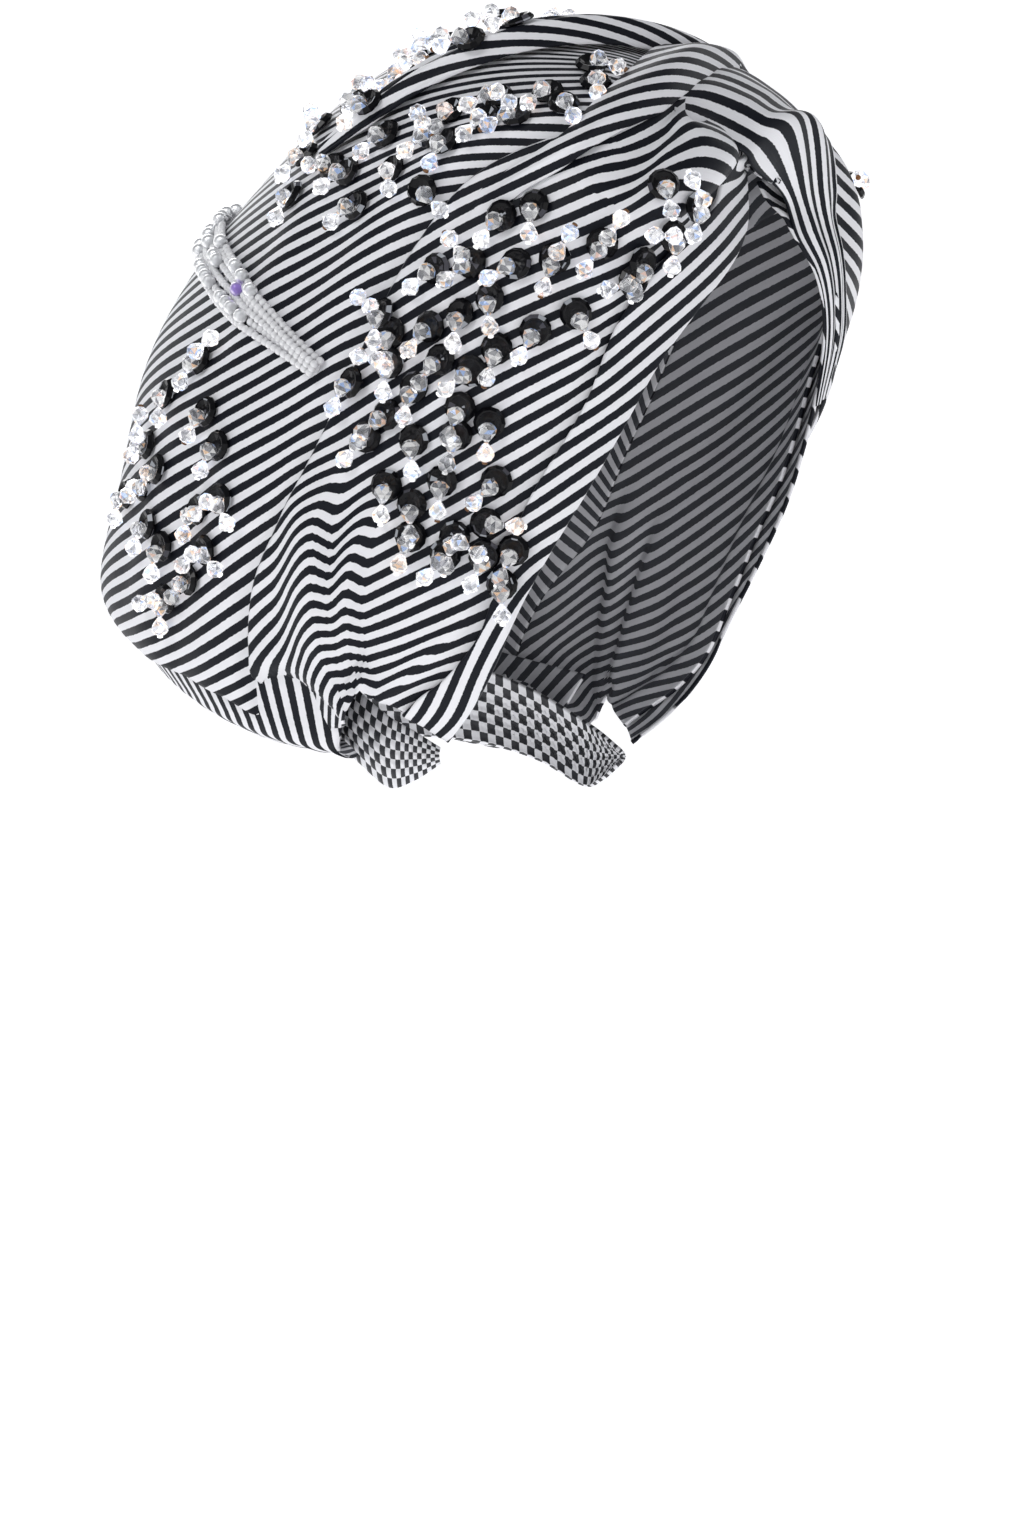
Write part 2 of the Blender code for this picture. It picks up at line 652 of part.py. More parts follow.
def build():
    stripe = (0.30, 0.31, 0.34)
    finishes = {
        name: material(name + "_cloth", tint, 0.6, Sheen_Weight=0.2)
        for name, tint in {
            "crown_bag": stripe,
            "side_panel_right": (0.34, 0.35, 0.38),
            "side_panel_left": (0.34, 0.35, 0.38),
            "face_band_right": (0.38, 0.39, 0.43),
            "face_band_left": (0.38, 0.39, 0.43),
            "brow_fold_right": (0.42, 0.43, 0.46),
            "brow_wrap_left": (0.42, 0.43, 0.46),
            "top_roll": (0.40, 0.41, 0.45),
            "front_twist": (0.45, 0.46, 0.50),
            "bag_base": (0.28, 0.28, 0.31),
            "nape_casing": (0.25, 0.26, 0.30),
        }.items()
    }
    cloth_of_bag = finishes["crown_bag"]
    panel("crown_bag", bag_edge, lambda at: 1 - bag_edge(at), ROWS, 25, cloth_of_bag, True, True, bag_front)
    panel_rows = ROWS[3:]
    for side, swap in (("right", False), ("left", True)):
        name = "side_panel_" + side
        panel(name, band_edge, bag_edge, panel_rows, 4, finishes[name], under_low=True, swap=swap)
        name = "face_band_" + side
        panel(name, lambda at: 0.0, band_edge, ROWS, 2, finishes[name], swap=swap)
    strip("brow_fold_right", BROW_FOLD, 17, 8, finishes["brow_fold_right"])
    strip("brow_wrap_left", LEFT_WRAP, 16, 10, finishes["brow_wrap_left"], pleats=3)
    strip("top_roll", TOP_ROLL, 13, 6, finishes["top_roll"])
    strip("front_twist", TWIST, 9, 7, finishes["front_twist"], flat=TWIST_CLEAR)
    nape_casing(finishes["nape_casing"])
    bag_base(finishes["bag_base"])

    tree = cloth_under()
    jet = (0.012, 0.012, 0.014)
    for name, rows, mirrored in (
        ("paillettes_side_right", SIDE_FIELD, False),
        ("paillettes_side_left", SIDE_LEFT_FIELD, True),
        ("paillettes_back_right", BACK_FIELD, False),
        ("paillettes_back_left", BACK_FIELD, True),
        ("paillettes_top_right", TOP_FIELD, False),
        ("paillettes_top_left", TOP_LEFT_FIELD, True),
    ):
        stone_field(name, rows, tree, material(name + "_stone", jet, 0.08), mirrored)
    bead_strings(tree, material("bead_strings_glass", (0.85, 0.86, 0.88), 0.12))


build()
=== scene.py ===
# %% [markdown]
# # A striped turban headwrap with sewn-on stones
# The real wrap is black and white striped cotton satin. A puffed bag covers the crown, a folded band runs along
# the face opening, wraps cross at the brow, and faceted black paillettes with cut crystals are sewn on by hand.
# The CAD model gives each piece its place. This lesson dresses each one with fine cloth, stripes and glass.

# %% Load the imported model
import math
import random

import bpy
import numpy as np
from mathutils import Matrix, Vector
from mathutils.bvhtree import BVHTree


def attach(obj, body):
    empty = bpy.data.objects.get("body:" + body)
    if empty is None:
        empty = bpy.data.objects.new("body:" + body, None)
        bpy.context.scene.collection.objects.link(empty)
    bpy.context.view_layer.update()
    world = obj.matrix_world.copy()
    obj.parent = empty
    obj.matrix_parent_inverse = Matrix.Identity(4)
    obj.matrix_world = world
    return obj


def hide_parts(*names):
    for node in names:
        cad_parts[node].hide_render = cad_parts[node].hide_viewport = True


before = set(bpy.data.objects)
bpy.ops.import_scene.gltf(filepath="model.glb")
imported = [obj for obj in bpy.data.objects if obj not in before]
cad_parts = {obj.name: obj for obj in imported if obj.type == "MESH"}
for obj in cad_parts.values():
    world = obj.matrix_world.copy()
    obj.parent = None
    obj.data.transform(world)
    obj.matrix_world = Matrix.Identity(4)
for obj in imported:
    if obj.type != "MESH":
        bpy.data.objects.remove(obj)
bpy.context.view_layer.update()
print("nodes:", ", ".join(sorted(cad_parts)))

# %% [markdown]
# ## Camera and light
# A product picture like this is taken with a long lens, level with the neck, from in front of the wearer's right
# side. A long lens far away keeps the round form free of distortion. Two broad soft lights and a pale room give
# the cloth its even white and leave small sharp glints on the glass.

# %% Camera, lights, floor
SIDE_ANGLE = math.radians(30)
TO_CAMERA = Vector((-math.cos(SIDE_ANGLE), -math.sin(SIDE_ANGLE), 0))
PICTURE_RIGHT = Vector((math.sin(SIDE_ANGLE), -math.cos(SIDE_ANGLE), 0))
DISTANCE, PICTURE_HIGH = 1.7, 0.4915  # metres to the camera, and what the picture's height covers there

lens = bpy.data.cameras.new("long_lens")
lens.sensor_width = 36
lens.lens = 36 * DISTANCE / PICTURE_HIGH
lens.clip_end = 50
camera = bpy.data.objects.new("camera", lens)
camera.location = TO_CAMERA * DISTANCE - PICTURE_RIGHT * 0.00736 + Vector((0, 0, -0.2344))
camera.rotation_euler = (-TO_CAMERA).to_track_quat("-Z", "Y").to_euler()
bpy.context.scene.collection.objects.link(camera)
bpy.context.scene.camera = camera
bpy.context.scene.view_settings.view_transform = "Standard"


def softbox(name, place, size, power):
    lamp = bpy.data.lights.new(name, "AREA")
    lamp.shape, lamp.size, lamp.energy = "SQUARE", size, power
    box = bpy.data.objects.new(name, lamp)
    box.location = place
    box.rotation_euler = (Vector((0, 0.02, -0.1)) - Vector(place)).to_track_quat("-Z", "Y").to_euler()
    bpy.context.scene.collection.objects.link(box)


softbox("key_light", TO_CAMERA * 1.1 - PICTURE_RIGHT * 0.9 + Vector((0, 0, 0.75)), 0.6, 8)
softbox("front_light", TO_CAMERA * 1.2 + PICTURE_RIGHT * 1.1 + Vector((0, 0, 0.25)), 0.9, 3.0)
softbox("back_light", -TO_CAMERA * 1.2 - PICTURE_RIGHT * 0.4 + Vector((0, 0, 0.8)), 0.9, 6)

world = bpy.data.worlds.new("pale_room")
world.use_nodes = True
world.node_tree.nodes["Background"].inputs["Color"].default_value = (0.94, 0.96, 1.0, 1)
world.node_tree.nodes["Background"].inputs["Strength"].default_value = 0.27
bpy.context.scene.world = world


def studio_floor(half=9.0, low=-0.5):
    """A floor that curves up into a wall behind, the sweep of paper used for product pictures."""
    turn = [(math.sin(a), 1 - math.cos(a)) for a in np.linspace(0, math.pi / 2, 13)]
    profile = [(-half, 0.0)] + [(2.4 + 1.5 * s, 1.5 * c) for s, c in turn] + [(3.9, 6.0)]
    away = -TO_CAMERA
    points = [away * d + Vector((0, 0, low + z)) + PICTURE_RIGHT * s for d, z in profile for s in (-half, half)]
    faces = [(2 * i, 2 * i + 1, 2 * i + 3, 2 * i + 2) for i in range(len(profile) - 1)]
    mesh = bpy.data.meshes.new("floor")
    mesh.from_pydata([tuple(p) for p in points], [], faces)
    mesh.shade_smooth()
    floor = bpy.data.objects.new("floor", mesh)
    bpy.context.scene.collection.objects.link(floor)
    return floor


floor = studio_floor()
print("camera lens", round(lens.lens, 1), "mm")

# %% [markdown]
# ## Striped satin
# The stripes are woven in, so they must follow the cloth through every fold. Each cloth mesh therefore gets a UV
# map in real metres: U runs along the stripes and V across them. The material only has to turn V into stripes, and
# it stays the same wherever the cloth goes. Yarn, a fine rib and soft creases come from noise and bump.

# %% Node helpers
STRIPE = 0.0049  # one black and one white stripe
INK = (0.005, 0.006, 0.010)
CHALK = (0.83, 0.83, 0.86)


def new_material(name):
    made = bpy.data.materials.new(name)
    made.use_nodes = True
    nodes, links = made.node_tree.nodes, made.node_tree.links
    return made, nodes, links, nodes["Principled BSDF"]


def math_node(nodes, links, operation, first, second=None, third=None):
    node = nodes.new("ShaderNodeMath")
    node.operation = operation
    for socket, value in zip(node.inputs, (first, second, third)):
        if value is None:
            continue
        if isinstance(value, (int, float)):
            socket.default_value = value
        else:
            links.new(value, socket)
    return node.outputs[0]


def mix_color(nodes, links, amount, first, second):
    node = nodes.new("ShaderNodeMix")
    node.data_type = "RGBA"
    for socket, value in ((node.inputs[0], amount), (node.inputs[6], first), (node.inputs[7], second)):
        if isinstance(value, (int, float)):
            socket.default_value = value
        elif isinstance(value, tuple):
            socket.default_value = (*value, 1)
        else:
            links.new(value, socket)
    return node.outputs[2]


def noise(nodes, links, vector, scale, detail=2.0):
    node = nodes.new("ShaderNodeTexNoise")
    node.inputs["Scale"].default_value = scale
    node.inputs["Detail"].default_value = detail
    links.new(vector, node.inputs["Vector"])
    return node.outputs["Fac"]


def smooth_step(nodes, links, value, low, high):
    node = nodes.new("ShaderNodeMapRange")
    node.interpolation_type = "SMOOTHSTEP"
    node.inputs["From Min"].default_value = low
    node.inputs["From Max"].default_value = high
    links.new(value, node.inputs["Value"])
    return node.outputs["Result"]


def bump(nodes, links, height, distance, below=None):
    node = nodes.new("ShaderNodeBump")
    node.inputs["Distance"].default_value = distance
    links.new(height, node.inputs["Height"])
    if below is not None:
        links.new(below, node.inputs["Normal"])
    return node.outputs["Normal"]


# %% The striped cloth
def striped_satin(name, ink=INK, chalk=CHALK, creases=0.0006):
    made, nodes, links, shader = new_material(name)
    cloth_map = nodes.new("ShaderNodeUVMap")
    cloth_map.uv_map = "cloth"
    parts = nodes.new("ShaderNodeSeparateXYZ")
    links.new(cloth_map.outputs["UV"], parts.inputs[0])
    along_u, across_v = parts.outputs["X"], parts.outputs["Y"]
    place = nodes.new("ShaderNodeTexCoord").outputs["Object"]

    # The edge of a stripe wanders by a yarn or so
    wander = math_node(nodes, links, "SUBTRACT", noise(nodes, links, cloth_map.outputs["UV"], 900, 1), 0.5)
    shifted = math_node(nodes, links, "MULTIPLY_ADD", wander, 0.00035, across_v)
    zigzag = math_node(nodes, links, "PINGPONG", shifted, STRIPE / 2)
    white = smooth_step(nodes, links, zigzag, STRIPE * 0.242, STRIPE * 0.270)

    # Satin yarns run along the stripe: long thin streaks, a little lighter or darker
    streak = nodes.new("ShaderNodeCombineXYZ")
    links.new(math_node(nodes, links, "MULTIPLY", along_u, 60.0), streak.inputs["X"])
    links.new(math_node(nodes, links, "MULTIPLY", across_v, 2600.0), streak.inputs["Y"])
    yarn = noise(nodes, links, streak.outputs[0], 1.0, 1)
    cloudy = noise(nodes, links, place, 22, 3)
    shade = math_node(nodes, links, "MULTIPLY_ADD", yarn, 0.16, math_node(nodes, links, "MULTIPLY", cloudy, 0.10))
    dark = mix_color(nodes, links, shade, ink, tuple(2.6 * c for c in ink))
    light = mix_color(nodes, links, shade, chalk, tuple(0.62 * c for c in chalk))
    links.new(mix_color(nodes, links, white, dark, light), shader.inputs["Base Color"])

    links.new(math_node(nodes, links, "MULTIPLY_ADD", yarn, 0.12, 0.44), shader.inputs["Roughness"])
    weave = bump(nodes, links, yarn, 0.00005)
    fine = bump(nodes, links, noise(nodes, links, place, 140, 3), creases * 0.25, weave)
    soft = bump(nodes, links, noise(nodes, links, place, 38, 2), creases, fine)
    links.new(soft, shader.inputs["Normal"])
    shader.inputs["Sheen Weight"].default_value = 0.02
    shader.inputs["Sheen Roughness"].default_value = 0.4
    shader.inputs["Specular IOR Level"].default_value = 0.15
    return made


satin = striped_satin("striped_satin")
lining = striped_satin("satin_wrong_side", (0.05, 0.052, 0.06), (0.62, 0.62, 0.65))

paper, paper_nodes, paper_links, paper_shader = new_material("studio_paper")
paper_place = paper_nodes.new("ShaderNodeTexCoord").outputs["Object"]
paper_grain = noise(paper_nodes, paper_links, paper_place, 3, 2)
paper_links.new(mix_color(paper_nodes, paper_links, paper_grain, (0.93, 0.93, 0.94), (0.95, 0.95, 0.96)),
                paper_shader.inputs["Base Color"])
paper_shader.inputs["Roughness"].default_value = 0.9
paper_shader.inputs["Emission Color"].default_value = (1, 1, 1, 1)
paper_shader.inputs["Emission Strength"].default_value = 0.6
floor.data.materials.append(paper)
print("one stripe pair:", STRIPE * 1000, "mm")

# %% [markdown]
# ## The form
# The wrap is a puffed shape over a head. It is described by hoops of cloth, each running from the right edge of
# the face opening over the crown to the left edge, as a few listed numbers a row. Sampling the hoops once into
# a fine table makes any later point quick to find.

# %% Sizes and hoops
FRONT_REACH, BACK_REACH = 0.100, 0.156
HALF_WIDTH, HEIGHT, WALL = 0.091, 0.2315, 0.0018
WIDEST_AT = 0.352
# at, rim half width, rim reach, rim drop, crest reach, crest drop, widest, sag
HOOPS = (
    (0.000, 0.066, -0.80, 0.222, -0.945, 0.190, 0.165, 0.000),
    (0.090, 0.165, -0.85, 0.292, -0.820, 0.153, 0.465, 0.000),
    (0.180, 0.308, -0.87, 0.348, -0.612, 0.075, 0.700, 0.000),
    (0.270, 0.462, -0.83, 0.412, -0.320, 0.024, 0.870, 0.000),
    (0.360, 0.593, -0.75, 0.490, 0.080, 0.004, 0.930, 0.000),
    (0.455, 0.670, -0.66, 0.577, 0.346, 0.067, 0.967, 0.000),
    (0.545, 0.725, -0.57, 0.654, 0.558, 0.179, 0.985, 0.000),
    (0.636, 0.758, -0.46, 0.732, 0.737, 0.300, 0.989, 0.000),
    (0.727, 0.769, -0.35, 0.810, 0.859, 0.425, 0.989, 0.009),
    (0.818, 0.758, -0.26, 0.883, 0.930, 0.581, 0.945, 0.017),
    (0.909, 0.714, -0.15, 0.944, 1.000, 0.750, 0.835, 0.036),
    (1.000, 0.637, 0.00, 1.000, 0.860, 0.840, 0.725, 0.058),
)


def along(table, at):
    """The columns after the first of a table, on a smooth curve through its rows, at one or many places."""
    rows = np.array(table, float)
    places, values = rows[:, 0], rows[:, 1:]
    slopes = np.gradient(values, places, axis=0)
    at = np.atleast_1d(np.asarray(at, float))
    i = np.clip(np.searchsorted(places, at) - 1, 0, len(places) - 2)
    span = (places[i + 1] - places[i])[:, None]
    t = (at[:, None] - places[i][:, None]) / span
    start = (2 * t**3 - 3 * t**2 + 1) * values[i] + (t**3 - 2 * t**2 + t) * span * slopes[i]
    end = (3 * t**2 - 2 * t**3) * values[i + 1] + (t**3 - t**2) * span * slopes[i + 1]
    return start + end


def ease(t):
    t = np.clip(t, 0.0, 1.0)
    return t * t * (3 - 2 * t)


def depth(share):
    return share * (FRONT_REACH if share < 0 else BACK_REACH)


def hoop(at):
    """The points of one hoop from rim to rim, and the length up to each."""
    half, reach, drop, crest_reach, crest_drop, widest, sag = along(HOOPS, at)[0]
    half, widest = half * HALF_WIDTH, widest * HALF_WIDTH
    rim = np.array([depth(reach), WALL - drop * HEIGHT])
    crest = np.array([depth(crest_reach), WALL - crest_drop * HEIGHT])
    start = math.acos(min(1.0, half / widest))
    angle = np.linspace(-start, math.pi / 2, 121)
    low = WIDEST_AT / max(math.sin(start), 1e-6)
    rise = WIDEST_AT + np.where(angle < 0, low, 1 - WIDEST_AT) * np.sin(angle)
    x = widest * np.cos(angle)
    y = rim[0] + (crest[0] - rim[0]) * rise
    z = rim[1] + (crest[1] - rim[1]) * rise - sag * HEIGHT * 4 * rise * (1 - rise)
    line = np.concatenate([np.stack([-x, y, z], 1), np.stack([x, y, z], 1)[::-1][1:]])
    steps = np.linalg.norm(np.diff(line, axis=0), axis=1)
    return line, np.concatenate([[0.0], np.cumsum(steps)])


# %% Sample the form
SHARES, ATS = 320, 240
share_marks, at_marks = np.linspace(0, 1, SHARES + 1), np.linspace(0, 1, ATS + 1)
FORM = np.zeros((ATS + 1, SHARES + 1, 3))
LENGTHS = np.zeros(ATS + 1)
for row, mark in enumerate(at_marks):
    hoop_line, run = hoop(mark)
    LENGTHS[row] = run[-1]
    for axis in range(3):
        FORM[row, :, axis] = np.interp(share_marks * run[-1], run, hoop_line[:, axis])


def unit(vectors):
    return vectors / np.maximum(np.linalg.norm(vectors, axis=-1, keepdims=True), 1e-12)


ACROSS = np.gradient(FORM, share_marks, axis=1)
DOWN = np.gradient(FORM, at_marks, axis=0)
OUT = unit(np.cross(ACROSS, DOWN))


def sample(table, share, at):
    """Values of one of the form's tables at shares of hoops, between its marks."""
    x = np.clip(np.asarray(share, float) * SHARES, 0, SHARES - 1e-6)
    y = np.clip(np.asarray(at, float) * ATS, 0, ATS - 1e-6)
    i, j = x.astype(int), y.astype(int)
    a, b = (x - i)[..., None], (y - j)[..., None]
    return (table[j, i] * (1 - a) + table[j, i + 1] * a) * (1 - b) + (table[j + 1, i] * (1 - a) + table[j + 1, i + 1] * a) * b


def length(at):
    return np.interp(at, at_marks, LENGTHS)


def raised(share, at, lift):
    return sample(FORM, share, at) + unit(sample(OUT, share, at)) * np.asarray(lift)[..., None]


print("hoop lengths from", round(LENGTHS.min() * 1000), "to", round(LENGTHS.max() * 1000), "mm")

# %% [markdown]
# ## Folds
# Cloth that is drawn in at the nape stands up in long soft ridges, and they fade as the cloth spreads over the
# side. Each ridge is a line between two places of the form with a width and a height. A second set of narrower
# ridges near the casing makes the gathers.

# %% Ridges
# from share, from at, to share, to at, half width, height
SOFT_FOLDS = (
    (0.050, 0.98, 0.085, 0.70, 0.011, 0.0016),
    (0.215, 1.00, 0.235, 0.62, 0.018, 0.0020),
    (0.300, 0.98, 0.290, 0.66, 0.020, 0.0018),
    (0.260, 0.30, 0.215, 0.60, 0.014, 0.0018),
    (0.130, 0.30, 0.105, 0.62, 0.016, 0.0018),
    (0.262, 0.14, 0.236, 0.44, 0.010, 0.0012),
    (0.320, 0.44, 0.250, 0.74, 0.014, 0.0012),
)
# height, width towards the back, width towards the face, then the line: share at each hoop
PLEATS = (
    (0.0052, 0.021, 0.0060, ((0.64, 0.153), (0.73, 0.147), (0.77, 0.138), (0.81, 0.131), (0.83, 0.125), (0.86, 0.116),
                             (0.88, 0.106), (0.92, 0.088), (1.00, 0.076))),
    (0.0037, 0.009, 0.0050, ((0.64, 0.119), (0.75, 0.113), (0.80, 0.109), (0.83, 0.103), (0.86, 0.097), (0.88, 0.084),
                             (1.00, 0.070))),
    (0.0013, 0.007, 0.0030, ((0.72, 0.024), (0.78, 0.031), (0.81, 0.041), (0.84, 0.050), (0.88, 0.059), (0.92, 0.074))),
    (0.0012, 0.006, 0.0040, ((0.70, 0.131), (0.81, 0.120), (0.86, 0.107), (0.92, 0.080))),
)
PULL = 1.3  # how far the stripes slide along a pleat, for each metre of its height
# side share and hoop of the line where the gathered cloth hangs over and turns under
OVERHANG = ((0.080, 0.960), (0.100, 0.916), (0.122, 0.900), (0.153, 0.888), (0.172, 0.900), (0.200, 0.940))


def ridges(table, share, at):
    """How far the soft folds stand out, the same on both sides."""
    side = np.minimum(share, 1 - share)
    height = np.zeros_like(side)
    for from_share, from_at, to_share, to_at, half, high in table:
        run = (at - from_at) / (to_at - from_at)
        on = (run > 0) & (run < 1)
        safe = np.clip(run, 0, 1)
        middle = from_share + (to_share - from_share) * safe
        away = np.abs(side - middle) * length(at) / half
        ridge = high * np.cos(np.minimum(away, 1) * math.pi / 2) ** 2 * np.sin(math.pi * safe) ** 0.7
        height += np.where(on & (away < 1), ridge, 0)
    return height


def pleats(share, at):
    """How far the pleats of the nape stand out. Each rises slowly from the back and drops steeply towards the face."""
    side = np.minimum(share, 1 - share)
    height = np.zeros_like(side)
    for high, to_back, to_face, line in PLEATS:
        hoops_at, shares_at = [mark[0] for mark in line], [mark[1] for mark in line]
        away = (side - np.interp(at, hoops_at, shares_at)) * length(at)
        away = np.where(away > 0, away / to_back, -away / to_face)
        deep = ease((at - hoops_at[0]) / 0.14)
        height += high * deep * np.cos(np.minimum(away, 1) * math.pi / 2) ** 2
    return height


def overhang(share, at):
    """The step under the line where the gathered cloth turns under."""
    side = np.minimum(share, 1 - share)
    below = (at - np.interp(side, [m[0] for m in OVERHANG], [m[1] for m in OVERHANG])) * 0.28
    there = ease((side - 0.086) / 0.012) * (1 - ease((side - 0.172) / 0.014))
    return there * (0.0014 * np.exp(-(((below + 0.003) / 0.004) ** 2)) - 0.0040 * ease(below / 0.005))


def all_folds(share, at):
    return ridges(SOFT_FOLDS, share, at) + pleats(share, at) + overhang(share, at)


print(len(SOFT_FOLDS), "soft folds and", len(PLEATS), "pleats a side")

# %% [markdown]
# ## Laying stripes on a bent sheet
# Stripes on flat cloth are straight and evenly spaced. On a rounded, gathered sheet they can't be both, so a real
# cloth gives a little everywhere. The same is done here: each place asks for a direction across its stripes, and the
# two numbers of the UV map are found whose steps from point to point come nearest to all those wishes at once. It is
# a least-squares fit, solved with conjugate gradients.

# %% Solve for even stripes
def cell_steps(field):
    """Mean steps of a field over each cell of the grid, along its rows and along its columns."""
    side = (field[1:, 1:] + field[:-1, 1:] - field[1:, :-1] - field[:-1, :-1]) / 2
    down = (field[1:, 1:] + field[1:, :-1] - field[:-1, 1:] - field[:-1, :-1]) / 2
    return side, down


def spread_back(side, down, shape):
    """The transpose of cell_steps: hands each cell's value back to its four corners."""
    field = np.zeros(shape)
    for rows, columns, s, d in ((1, 1, 1, 1), (0, 1, 1, -1), (1, 0, -1, 1), (0, 0, -1, -1)):
        field[rows : rows + side.shape[0], columns : columns + side.shape[1]] += (s * side + d * down) / 2
    return field


def even_field(points, towards, first, rounds=500, evenness=0.25, tied=None):
    """Metres along the wished directions at each grid point. A step sideways to the wish counts as a worse fault
    than a step of the wrong length, so the stripes keep their direction and only their width gives."""
    side = (points[1:, 1:] + points[:-1, 1:] - points[1:, :-1] - points[:-1, :-1]) / 2
    down = (points[1:, 1:] + points[1:, :-1] - points[:-1, 1:] - points[:-1, :-1]) / 2
    normal = unit(np.cross(side, down))
    g = (towards[1:, 1:] + towards[:-1, 1:] + towards[1:, :-1] + towards[:-1, :-1]) / 4
    g = unit(g - normal * (g * normal).sum(-1, keepdims=True))
    t = np.cross(normal, g)
    ss, dd, sd = (side * side).sum(-1), (down * down).sum(-1), (side * down).sum(-1)
    room = np.maximum(ss * dd - sd * sd, 1e-16)

    def parts(way):
        ws, wd = (way * side).sum(-1), (way * down).sum(-1)
        return (ws * dd - wd * sd) / room, (wd * ss - ws * sd) / room

    g_side, g_down = parts(g)
    t_side, t_down = parts(t)
    area = np.sqrt(room)
    keep_flat = 0.05 / area.mean()
    area = area / area.mean()
    hold, held_at = tied or (np.zeros(points.shape[:2]), 0.0)
    along_weight, across_weight = area * evenness, area

    def pull(field):
        s, d = cell_steps(field)
        right = along_weight * (g_side * s + g_down * d)
        wrong = across_weight * (t_side * s + t_down * d)
        total = spread_back(right * g_side + wrong * t_side, right * g_down + wrong * t_down, field.shape)
        ripple = field[1:, 1:] + field[:-1, :-1] - field[1:, :-1] - field[:-1, 1:]
        ripple = ripple * keep_flat
        total[1:, 1:] += ripple
        total[:-1, :-1] += ripple
        total[1:, :-1] -= ripple
        total[:-1, 1:] -= ripple
        return total + hold * field

    goal = spread_back(along_weight * g_side, along_weight * g_down, points.shape[:2]) + hold * held_at
    field = first.copy()
    rest = goal - pull(field)
    way = rest.copy()
    size = (rest**2).sum()
    for _ in range(rounds):
        pulled = pull(way)
        step = size / max((way * pulled).sum(), 1e-30)
        field += step * way
        rest -= step * pulled
        new_size = (rest**2).sum()
        way = rest + new_size / max(size, 1e-30) * way
        size = new_size
    return field


def first_guess(points, towards):
    """Adds the wished steps up along the middle row and then up and down the columns."""
    side = (np.diff(points, axis=1) * (towards[:, 1:] + towards[:, :-1]) / 2).sum(-1)
    down = (np.diff(points, axis=0) * (towards[1:] + towards[:-1]) / 2).sum(-1)
    middle = points.shape[0] // 2
    field = np.zeros(points.shape[:2])
    field[middle, 1:] = np.cumsum(side[middle])
    field[middle + 1 :] = field[middle] + np.cumsum(down[middle:], axis=0)
    field[:middle] = field[middle] - np.cumsum(down[:middle][::-1], axis=0)[::-1]
    return field


def grid_normals(points):
    return unit(np.cross(np.gradient(points, axis=1), np.gradient(points, axis=0)))


def lay_stripes(points, wish, shift=0.0, tied=None, evenness=0.25):
    """The UV map of a sheet whose stripes are crossed in the wished directions. tied holds a stiffness for each point
    and the value of the neighbour's stripes there, so that the stripes run on into it."""
    normals = grid_normals(points)
    across = unit(wish - normals * (wish * normals).sum(-1, keepdims=True))
    along_stripe = np.cross(across, normals)
    first = first_guess(points, across)
    if tied:
        first += (tied[0] * (tied[1] - first)).sum() / tied[0].sum()
    v = even_field(points, across, first, evenness=evenness, tied=tied)
    u = even_field(points, along_stripe, first_guess(points, along_stripe), rounds=150)
    middle = 0.0 if tied else v[v.shape[0] // 2, v.shape[1] // 2]
    return np.stack([u, v - middle + shift * STRIPE], -1)


# %% [markdown]
# ## Making a sheet
# A sheet is a grid of points on the outer side. Solidify gives it the thickness of two layers of cotton, turned
# inwards, so the outer side keeps its place, and the inner side takes the duller wrong side of the satin.

# %% Build a cloth piece from a grid
def mesh_piece(name, vertices, faces, *finishes, smooth=True):
    mesh = bpy.data.meshes.new(name)
    mesh.from_pydata([tuple(v) for v in vertices], [], [tuple(f) for f in faces])
    if smooth:
        mesh.shade_smooth()
    for finish in finishes:
        mesh.materials.append(finish)
    piece = bpy.data.objects.new(name, mesh)
    bpy.context.scene.collection.objects.link(piece)
    return piece


def cloth_piece(name, points, uv, nodes, wall=0.0013, finishes=None):
    rows, columns = points.shape[:2]
    corner = np.arange(rows * columns).reshape(rows, columns)
    faces = np.stack([corner[:-1, :-1], corner[:-1, 1:], corner[1:, 1:], corner[1:, :-1]], -1).reshape(-1, 4)
    piece = mesh_piece(name, points.reshape(-1, 3), faces.tolist(), *(finishes or (satin, lining)))
    layer = piece.data.uv_layers.new(name="cloth")
    layer.data.foreach_set("uv", uv.reshape(-1, 2)[faces.reshape(-1)].astype(np.float32).reshape(-1))
    thick = piece.modifiers.new("wall", "SOLIDIFY")
    thick.thickness = wall
    thick.offset = -1
    thick.material_offset = 1
    thick.material_offset_rim = 0
    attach(piece, "root")
    if nodes:
        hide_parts(*nodes)
    return piece


# %% [markdown]
# ## The base panels
# The bag, the side panels and the face band are cut apart and sewn edge to edge. Each runs a little way in under
# its neighbour, and an edge that shows is folded over, so its outer side rounds down to nothing. The slant tables
# say how far the direction across the stripes is turned from the hoop, at a few shares of a few hoops.

